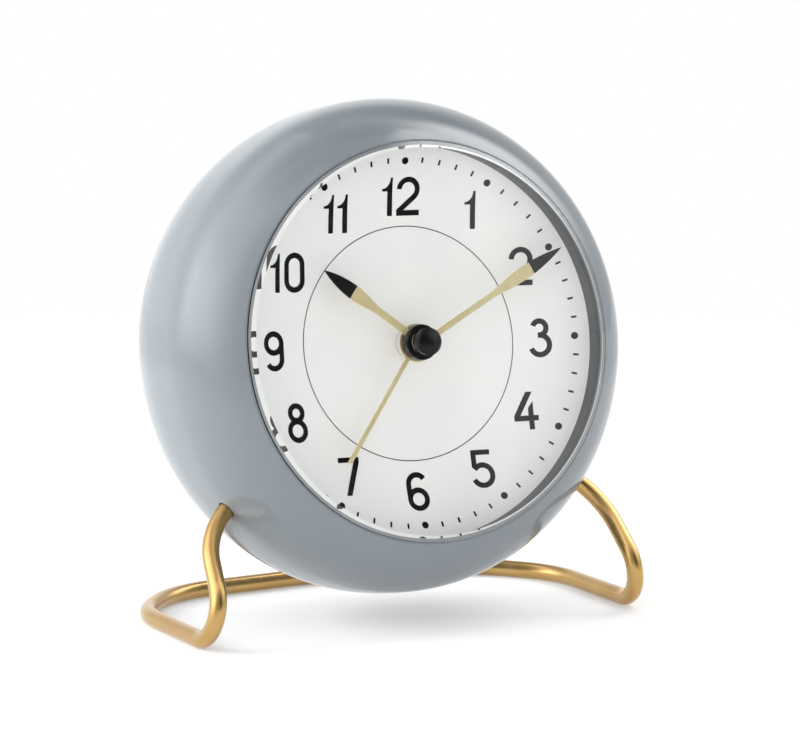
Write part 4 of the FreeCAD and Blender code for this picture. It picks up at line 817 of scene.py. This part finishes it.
@dataclass(frozen=True)
class DialPrint:
    """Black print on the dished dial: figures, minute marks and one thin circle."""

    ink: Finish = Finish("dial_ink", (18, 18, 19), (13, 13, 14), rough=(0.45, 0.6), grain_depth=1e-6,
                         specular=0.15)
    dish_depth: float = 3.0
    dish_middle: float = 22.0
    minute_ring: float = 39.8
    turn: float = -1.2215
    figure_ring: float = 32.72
    tick_ring: float = 40.35
    tick_half: float = 0.23
    tick_tall: float = 0.625
    dot_ring: float = 40.1
    dot_radius: float = 0.8
    circle_ring: float = 25.65
    circle_width: float = 0.2
    depth: Pair = (0.03, 0.05)
    numerals: Numerals = Numerals()

    def on_dish(self, flat: np.ndarray, lift: float) -> np.ndarray:
        """Lay flat print on the dish.

        A point at distance s from the middle, measured along the surface, comes to the radius
        m + R sin((s - m) / R) and the height R - d - R cos((s - m) / R), where m is the flat
        middle, d the depth and R the arc, (w^2 + d^2) / (2 d) for the run w from the middle to the
        minute ring; inside the middle it stays as it is at height -d.

        Args:
            flat: Points of shape (n, 2).
            lift: Height above the surface.

        Returns:
            Points of shape (n, 3) in the dial frame.
        """
        big = ((self.minute_ring - self.dish_middle) ** 2 + self.dish_depth ** 2) / (2 * self.dish_depth)
        away = np.linalg.norm(flat, axis=1)
        bend = np.maximum(away - self.dish_middle, 0.0) / big
        radius = np.minimum(away, self.dish_middle) + big * np.sin(bend)
        tiny = 1e-9
        plan = flat * (radius / np.maximum(away, tiny))[:, None]
        height = big - self.dish_depth - big * np.cos(bend) + lift
        return np.column_stack([plan @ turning(self.turn).T, height])

    def figures(self) -> list[Strip]:
        """All twelve hours, each set a little off the even ring."""
        return [
            strip.out_to(self.figure_ring, hour).moved(*FIGURE_SETTING[hour])
            for hour in range(1, 13) for strip in self.numerals.hour(hour)
        ]

    def ticks(self) -> list[Strip]:
        """A short bar at each minute between the hours."""
        bar = Strip.bar(-self.tick_half, self.tick_half, self.tick_tall, -self.tick_tall)
        return [bar.turned(-6.0 * m).out_to(self.tick_ring, m / 5) for m in range(60) if m % 5]

    def dots(self) -> list[Strip]:
        """A round dot at each hour: edges at plus and minus the sine across, the cosine along.

        Returns:
            The strips.
        """
        blunt = 0.02
        turn = np.linspace(blunt, math.pi - blunt, 18)
        edge = self.dot_radius * np.stack([-np.sin(turn), np.cos(turn)], axis=1)
        dot = Strip(edge, edge * (-1.0, 1.0))
        return [dot.turned(-30.0 * hour).out_to(self.dot_ring, hour) for hour in range(12)]

    def circle(self) -> list[Strip]:
        """The thin circle inside the figures."""
        return [Strip.ring(0.0, self.circle_ring, self.circle_width, 180)]

    def build(self) -> list[Object]:
        """Print the dial.

        Returns:
            The pieces of ink.
        """
        sets = {
            "dial_figures": self.figures(), "minute_ticks": self.ticks(),
            "hour_dots": self.dots(), "inner_circle": self.circle(),
        }
        return [
            make_piece(name, plates(strips, self.on_dish, *self.depth), self.ink, "clock")
            for name, strips in sets.items()
        ]


class Sign(Enum):
    """Plain signs on the clock's back, by the side that they stand on."""

    TIME = -1.0
    ALARM = 1.0


@dataclass(frozen=True)
class RearSigns:
    """Signs on the back, seen from behind with x to the right: arrows, marks, grips, and the painted shade
    of the screws' cross recesses.
    """

    dark: Finish
    pale: Finish = Finish("sign_pale", (206, 209, 212), (196, 199, 202), rough=(0.5, 0.6), grain_depth=1e-6)
    cover_face: float = -45.5
    button_face: float = -47.1
    line: float = 0.42
    knob: float = 13.577
    arrow_ring: float = 7.7
    arrow_turn: Pair = (55.0, 140.0)
    head_turn: float = 14.0
    head_half: float = 1.0
    head_close: float = 0.97
    sign_x: float = 24.6
    sign_y: float = 18.4
    mark_x: float = 5.6
    cell_place: Pair = (4.0, -10.0)
    cell_half: Pair = (11.0, 3.4)
    cell_nub: Pair = (1.1, 1.2)
    pole_x: float = 7.3
    pole_half: float = 1.3
    button_y: float = 26.5
    grip_half: float = 2.2
    grip_width: float = 0.6
    grip_step: float = 1.7
    screw_ring: float = 36.1
    screw_turn: float = 20.0
    # Half size and depth of the painted shade crosses on the screw heads
    recess_shade_half: float = 1.1
    sign_depth: Pair = (0.06, 0.05)
    grip_depth: Pair = (0.3, 0.1)
    recess_shade_depth: Pair = (0.02, 0.02)

    def on(self, face: float) -> Lay:
        """Lays flat points on a rear face: x turns round and the height runs backwards from the face."""
        return lambda flat, lift: np.column_stack([-flat[:, 0], flat[:, 1], np.full(len(flat), face - lift)])

    def stroke(self, *points: Pair) -> Strip:
        """A line of the signs' own width through some points."""
        return Strip.stroke(ribbon(*points), self.line)

    def arrows(self) -> list[Strip]:
        """An arc over each knob that ends in a pointed head, the right one the left one's mirror image.

        Returns:
            The strips.
        """
        ring, (start, end) = self.arrow_ring, self.arrow_turn
        inner, outer = (arc(0, 0, ring + half, end, end, 1) for half in (-self.head_half, self.head_half))
        point = arc(0, 0, ring, end + self.head_turn, end + self.head_turn, 1)
        head = Strip(*(np.vstack([e, e + (point - e) * self.head_close]) for e in (inner, outer)))
        bend = Strip.stroke(arc(0, 0, ring, start, end), self.line)
        left = [s.moved(-self.knob, self.knob) for s in (bend, head)]
        return left + [s.mirrored() for s in left]

    def sign(self, kind: Sign) -> list[Strip]:
        """A clock face with two hands, or a bell with its clapper, beside its knob.

        Args:
            kind: Which of the two.

        Returns:
            The strips.
        """
        if kind is Sign.TIME:
            strips = [Strip.ring(0.0, 2.1, self.line), self.stroke((0.0, 1.5), (0.0, 0.0), (1.1, 0.0))]
        else:
            crown, clapper = arc(0, 0.55, 1.35, 180, 0).tolist(), arc(0, -1.75, 0.5, 190, 350, 12).tolist()
            strips = [
                self.stroke((-1.95, -1.3), (-1.35, -0.6), *crown, (1.35, -0.6), (1.95, -1.3)),
                self.stroke((-2.2, -1.5), (2.2, -1.5)), self.stroke(*clapper),
            ]
        return [s.moved(kind.value * self.sign_x, self.sign_y) for s in strips]

    def switch_marks(self) -> list[Strip]:
        """A short bar where the alarm is on and a ring where it is off."""
        bar = self.stroke((0.0, 0.75), (0.0, -0.75)).moved(-self.mark_x, self.knob)
        return [bar, Strip.ring(0.0, 0.6, self.line, 24).moved(self.mark_x, self.knob)]

    def cell_marks(self) -> list[Strip]:
        """The cell's outline with its nub, and its plus and minus.

        Returns:
            The strips.
        """
        (wide, tall), (out, nub) = self.cell_half, self.cell_nub
        box = ribbon((-wide, -tall), (wide, -tall), (wide, tall), (-wide, tall))
        pole, half = self.pole_x, self.pole_half
        strips = [
            Strip.stroke(box, self.line, True),
            self.stroke((-wide, nub), (-wide - out, nub), (-wide - out, -nub), (-wide, -nub)),
            self.stroke((-pole - half, 0.0), (half - pole, 0.0)), self.stroke((-pole, half), (-pole, -half)),
            self.stroke((pole - half, 0.0), (pole + half, 0.0)),
        ]
        return [s.moved(*self.cell_place) for s in strips]

    def grips(self) -> list[Strip]:
        """Five low ribs across the snooze button."""
        rib = Strip.stroke(ribbon((0.0, self.grip_half), (0.0, -self.grip_half)), self.grip_width)
        return [rib.moved(self.grip_step * step, self.button_y) for step in range(-2, 3)]

    def crosses(self) -> list[Strip]:
        """Painted shade: a dark cross on each of the three screw heads, standing in for the shade in its
        cross recess.

        Returns:
            The strips.
        """
        half = self.recess_shade_half
        bars = [self.stroke((-half, 0.0), (half, 0.0)), self.stroke((0.0, half), (0.0, -half))]
        spots = arc(0, 0, self.screw_ring, 90.0, 330.0, 3)
        return [s.turned(self.screw_turn * n).moved(*spot) for n, spot in enumerate(spots) for s in bars]

    def build(self) -> list[Object]:
        """Make the signs.

        Returns:
            The pieces, each on the body that carries it.
        """
        signs = [*self.arrows(), *self.sign(Sign.TIME), *self.sign(Sign.ALARM), *self.switch_marks()]
        cover, button = self.on(self.cover_face), self.on(self.button_face)
        setting = plates(signs, cover, *self.sign_depth)
        cell = plates(self.cell_marks(), cover, *self.sign_depth)
        grips = plates(self.grips(), button, *self.grip_depth)
        # Painted shade: dark crosses on the screw heads stand in for the shade in their cross recesses
        crosses = plates(self.crosses(), cover, *self.recess_shade_depth)
        return [
            make_piece("setting_signs", setting, self.pale, "clock"),
            make_piece("cell_signs", cell, self.pale, "door"),
            make_piece("snooze_grips", grips, self.dark, "snooze"),
            make_piece("screw_recess_shades", crosses, self.dark, "clock"),
        ]


@dataclass(frozen=True)
class DialBush:
    """A thin white washer that closes the dial's centre hole round the alarm hand's pipe."""

    finish: Finish
    bore: float = 3.33
    rim: float = 4.7
    seat: float = -3.02
    top: float = -2.86
    edge: float = 0.06
    steps: int = 96

    def build(self) -> Object:
        """Make the washer: its closed section carried round the dial's axis.

        Returns:
            The washer.
        """
        shoulder = self.top - self.edge
        section = ribbon(
            (self.bore, self.seat), (self.rim, self.seat), (self.rim, shoulder),
            (self.rim - self.edge, self.top), (self.bore + self.edge, self.top), (self.bore, shoulder),
        )
        return make_piece("dial_bush", revolve(section, self.steps), self.finish, "clock")


@dataclass(frozen=True)
class Crystal:
    """The domed clear crystal: a hollow meniscus with an upright edge and a flat bevel round it."""

    finish: Finish
    radius: float = 43.53
    seat: float = 42.38
    foot: float = 7.1
    upright: float = 0.85
    bevel: Pair = (1.4, 1.0)
    hollow_top: float = 8.5
    crown_top: float = 10.4
    steps: int = 240
    crease: float = 12.0

    def build(self) -> Object:
        """Make the crystal: two domes, a foot, an edge and a bevel carried round the dial's axis.

        Returns:
            The crystal, which stands for the plain lens.
        """
        shoulder = self.foot + self.upright
        flat, rim = self.radius - self.bevel[0], shoulder + self.bevel[1]
        section = np.vstack([
            dome(self.seat, self.foot, self.hollow_top)[::-1],
            [(self.radius, self.foot), (self.radius, shoulder)],
            dome(flat, rim, self.crown_top),
        ])
        surface = revolve(section, self.steps)
        piece = make_piece("crystal", surface, self.finish, "clock", self.crease)
        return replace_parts(piece, "lens")


@dataclass(frozen=True)
class Dressing:
    """Gives every solid of the clock its finish, by its material slot or its own name."""

    by_slot: dict[str, Finish]
    by_node: dict[str, Finish]

    def dress(self) -> None:
        """Assign one built material to each node."""
        for name, node in frame["nodes"].items():
            slot = node.material_slots[0].material.name.split(".")[0]
            finish = self.by_node.get(name) or self.by_slot[slot]
            for place in node.material_slots:
                place.material = finish.material()
            LOG.info("%s wears %s", name, finish.name)


def clock_finishes() -> Dressing:
    """The clock's finishes.

    Returns:
        The dressing for all nodes.
    """
    gold = dict(colour=(244, 229, 180), shade=(236, 220, 170), drift_scale=700.0, grain_scale=5200.0,
                grain_depth=9e-6, rough=(0.42, 0.62), metallic=0.75)
    metal, moulded = dict(metallic=1.0), dict(grain_scale=2600.0)
    by_slot = {
        "lacquer": Lacquer("case_lacquer", (124, 131, 136), (121, 128, 133), drift_scale=22.0,
                           grain_scale=420.0, grain_depth=4e-7, rough=(0.42, 0.5)),
        "stand_brass": Finish("satin_brass", (196, 160, 98), (188, 151, 90), drift_scale=120.0, **metal,
                              grain_scale=9000.0, grain_depth=4e-7, rough=(0.26, 0.33), coat=0.5,
                              coat_rough=0.2),
        "steel": BrushedMetal("bright_steel", (190, 190, 188), (172, 172, 172), **metal, rough=(0.25, 0.38),
                              stretch=(5000.0, 300.0, 300.0)),
        "contact_plate": BrushedMetal("contact_plate", (200, 196, 186), (182, 178, 168), **metal,
                                      rough=(0.28, 0.42), stretch=(4000.0, 300.0, 300.0)),
        "dial_white": Finish("dial_white", (241, 241, 239), (239, 239, 237), grain_scale=3500.0,
                             grain_depth=1.5e-6, rough=(0.42, 0.55)),
        "ring_grey": Finish("ring_grey", (68, 70, 72), (60, 62, 64), rough=(0.3, 0.42)),
        "gasket": Finish("gasket_silicone", (132, 135, 138), (124, 127, 130), rough=(0.5, 0.65)),
        "crystal": ClearCrystal("clear_crystal", (255, 255, 255), (252, 254, 254)),
        "hand_gold": Finish("hand_gold", **gold),
        "hub_black": Finish("hub_black", (16, 16, 17), (12, 12, 13), rough=(0.16, 0.24), grain_depth=8e-7,
                            specular=0.25),
        "train_brass": BrushedMetal("train_brass", (208, 172, 100), (190, 152, 84), **metal,
                                    rough=(0.25, 0.4)),
        "wheel_plastic": Finish("wheel_plastic", (232, 228, 214), (222, 217, 202)),
        "plate_plastic": Finish("plate_plastic", (58, 60, 63), (48, 50, 53), rough=(0.45, 0.6)),
        "coil_former": Finish("coil_former", (40, 42, 46), (32, 34, 38)),
        "coil_copper": WoundCopper("coil_copper", (190, 104, 60), (172, 88, 48), **metal, rough=(0.25, 0.45),
                                   grain_depth=3e-5),
        "board_green": FibreBoard("board_green", (30, 92, 60), (24, 78, 50), coat=0.4, rough=(0.35, 0.5)),
        "component_black": Finish("component_black", (34, 34, 36), (26, 26, 28), rough=(0.5, 0.7),
                                  grain_scale=6000.0),
        "cover_grey": Finish("cover_grey", (104, 110, 116), (98, 104, 110), **moulded, grain_depth=1.2e-5,
                             rough=(0.48, 0.62)),
        "control_dark": Finish("control_dark", (52, 55, 59), (44, 47, 51), **moulded, grain_depth=8e-6,
                               rough=(0.4, 0.55)),
        "cell_jacket": Finish("cell_jacket", (60, 84, 120), (52, 74, 108), rough=(0.25, 0.35), coat=0.6),
    }
    by_node = {
        "alarm_wheel": Finish("alarm_wheel_plastic", (240, 240, 238), (236, 236, 233)),
        "hour_hand": PaintedHand("hour_hand_gold", reach=19.3, **gold),
        "minute_hand": PaintedHand("minute_hand_gold", reach=31.3, **gold),
    }
    return Dressing(by_slot, by_node)


@dataclass(frozen=True)
class Softbox:
    """A soft square lamp that faces the clock; azimuth 0 is in front of the clock and 90 to its right."""

    name: str
    azimuth: float
    elevation: float
    distance: float
    size: Pair
    power: float

    def build(self, centre: Vector) -> Object:
        """Hang the lamp.

        Args:
            centre: The point that it faces.

        Returns:
            The lamp.
        """
        lamp = bpy.data.lights.new(self.name, "AREA")
        lamp.shape = "RECTANGLE"
        lamp.size, lamp.size_y = self.size
        lamp.energy = self.power
        around, up = math.radians(self.azimuth), math.radians(self.elevation)
        back = Vector((math.sin(around) * math.cos(up), -math.cos(around) * math.cos(up), math.sin(up)))
        stand = link(self.name, lamp)
        stand.location = centre + back * self.distance
        stand.rotation_euler = (-back).to_track_quat("-Z", "Y").to_euler()
        stand.visible_glossy = False
        return stand


@dataclass(frozen=True)
class Stretch:
    """A soft-edged stretch of the room that gloss surfaces show brighter or darker than the rest.

    Its strength is the product of three smooth steps of a direction's parts: one down from the
    middle to either side, one up from its foot and one down to its head, angles in degrees.
    """

    azimuth: float
    side: Pair
    foot: Pair
    head: Pair
    strength: float

    def build(self, graph: Graph, way: Socket, height: Socket) -> Socket:
        """Strength by direction.

        Args:
            graph: The room's graph.
            way: The direction that is looked along.
            height: Its upward part.

        Returns:
            The brightness that this stretch adds, or takes where it is below nought.
        """
        around = math.radians(self.azimuth)
        facing, across = (graph.vector("DOT_PRODUCT", way, axis).outputs["Value"] for axis in (
            (math.sin(around), -math.cos(around), 0.0), (math.cos(around), math.sin(around), 0.0)))
        side, foot, head = np.sin(np.radians((self.side, self.foot, self.head))).tolist()
        spread = graph.ramp(graph.math("ABSOLUTE", across), *side, self.strength, 0.0)
        rise, fall = graph.ramp(height, *foot, 0.0, 1.0), graph.ramp(height, *head, 1.0, 0.0)
        return graph.fold("MULTIPLY", spread, rise, fall, graph.math("GREATER_THAN", facing, 0.0))


@dataclass(frozen=True)
class Studio:
    """A pale floor, soft lamps and a plain bright room."""

    floor_half: float = 2.0
    floor_lines: int = 9
    floor_drop: float = 0.00005
    floor_white: Colour = (0.99, 0.99, 0.99)
    floor_glow: float = 0.33
    floor_far: Pair = (0.25, 0.5)
    room_light: float = 1.0
    room_shown: float = 0.64
    darkest: float = 0.02
    ceiling_dark: float = 0.5
    ceiling_edges: Pair = (0.35, 0.6)
    stretches: tuple[Stretch, ...] = (
        Stretch(-94, (15, 52), (-14, 14), (55, 85), 1.1),
        Stretch(-94, (15, 52), (-1, 22), (55, 85), 0.9),
        Stretch(-103, (12, 34), (-8, 14), (25, 45), 1.6),
        Stretch(-142, (18, 48), (-60, -30), (0, 50), 0.32),
        Stretch(160, (12, 34), (-60, -30), (25, 50), 0.4),
        Stretch(165, (30, 60), (30, 46), (86, 90), -0.4),
        Stretch(96, (2, 16), (5, 45), (50, 70), 4.6),
        Stretch(78, (2, 9), (50, 60), (64, 70), 3.0),
        Stretch(68, (10, 40), (5, 30), (60, 80), 1.4),
        Stretch(-27, (15, 42), (-60, -30), (20, 45), -0.2),
        Stretch(12, (15, 20), (-60, -30), (20, 45), -0.7),
        Stretch(180, (20, 50), (-60, -30), (30, 60), 0.2),
    )
    lamps: tuple[Softbox, ...] = (
        Softbox("left_softbox", -118.0, 10.0, 1.1, (0.9, 1.2), 22.0),
        Softbox("right_top_softbox", 100.0, 48.0, 0.9, (0.35, 0.5), 2.2),
    )

    def floor(self) -> Object:
        """Lay the floor: a flat grid whose two parameters are its x and y.

        Returns:
            The staged floor.
        """
        line = np.linspace(-self.floor_half, self.floor_half, self.floor_lines)
        x, y = np.meshgrid(line, line, indexing="ij")
        points = np.column_stack([x.ravel(), y.ravel(), np.full(x.size, -self.floor_drop)])
        faces = woven(self.floor_lines, self.floor_lines)[:, ::-1]
        mesh = bpy.data.meshes.new("floor")
        mesh.from_pydata(points.tolist(), [], faces.tolist())
        mesh.materials.append(self.floor_paper())
        floor = link("floor", mesh)
        return floor

    def floor_paper(self) -> Material:
        """Make white paper that takes the clock's shadow near it and shows plain white far out.

        Returns:
            The floor's material.
        """
        material, graph = Graph.of_material("floor_paper")
        matte = graph.add("BsdfDiffuse", {"Color": self.floor_white})
        glow = graph.add("Emission", {"Color": WHITE, "Strength": 1.0})
        place = graph.add("TexCoord").outputs["Object"]
        away = graph.vector("LENGTH", place).outputs["Value"]
        plain = graph.ramp(away, *self.floor_far, self.floor_glow, 1.0)
        share = graph.math("MULTIPLY", graph.any_ray(*SEEN_BY), plain)
        mixed = graph.add("MixShader", {0: share, 1: matte.outputs[0], 2: glow.outputs[0]})
        graph.add("OutputMaterial", {"Surface": mixed.outputs[0]})
        return material

    def room(self) -> None:
        """Light the room evenly, and show it to gloss surfaces with its brighter and darker stretches."""
        world = bpy.data.worlds.new("room")
        bpy.context.scene.world = world
        world.use_nodes = True
        graph = Graph(world.node_tree)
        way = graph.add("TexCoord").outputs["Generated"]
        height = graph.add("SeparateXYZ", {0: way}).outputs["Z"]
        shown = graph.ramp(height, *self.ceiling_edges, self.room_shown, self.ceiling_dark)
        shown = graph.fold("ADD", shown, *(s.build(graph, way, height) for s in self.stretches))
        shown = graph.math("MAXIMUM", shown, self.darkest)
        white = graph.math("MAXIMUM", shown, graph.any_ray(Ray.CAMERA))
        levels = {0: graph.any_ray(*SEEN_BY), 2: self.room_light, 3: white}
        strength = graph.add("Mix", levels, data_type="FLOAT").outputs[0]
        sky = graph.add("Background", {"Color": WHITE, "Strength": strength})
        graph.add("OutputWorld", {"Surface": sky.outputs[0]})

    def build(self, centre: Vector) -> None:
        """Set up the floor, the room and the lamps.

        Args:
            centre: The point that the lamps face.
        """
        self.floor()
        self.room()
        for lamp in self.lamps:
            lamp.build(centre)


@dataclass(frozen=True)
class PhotoCamera:
    """Camera where the photograph was taken from."""

    place: Triple = (-0.438535, -0.8600896, 0.200514)
    right: Triple = (0.888722, -0.458423, 0.004667)
    up: Triple = (0.06428, 0.134682, 0.988802)
    back: Triple = (-0.453918, -0.87847, 0.149163)
    focal_pixels: float = 4393.07
    image_width: int = 800
    sensor_mm: float = 36.0
    clip: Pair = (0.01, 50.0)

    def build(self) -> Object:
        """Stand the camera up.

        Returns:
            The camera, set as the scene's own.
        """
        data = bpy.data.cameras.new("photo_camera")
        data.sensor_fit = "HORIZONTAL"
        data.sensor_width = self.sensor_mm
        data.lens = self.focal_pixels * self.sensor_mm / self.image_width
        data.clip_start, data.clip_end = self.clip
        camera = link("photo_camera", data)
        turn = Matrix((self.right, self.up, self.back)).transposed().to_4x4()
        camera.matrix_world = Matrix.Translation(self.place) @ turn
        bpy.context.scene.camera = camera
        return camera


def main() -> None:
    """Dress the clock, print its dial and set up the studio."""
    logging.basicConfig(level=logging.INFO, format="%(name)s: %(message)s")
    bpy.context.scene.view_settings.view_transform = "Standard"
    dressing = clock_finishes()
    dressing.dress()
    DialPrint().build()
    DialBush(dressing.by_slot["dial_white"]).build()
    Crystal(dressing.by_slot["crystal"]).build()
    RearSigns(dressing.by_slot["control_dark"]).build()
    low, high = CAD_BOX
    Studio().build((low + high) / 2)
    PhotoCamera().build()


if __name__ == "__main__":
    main()
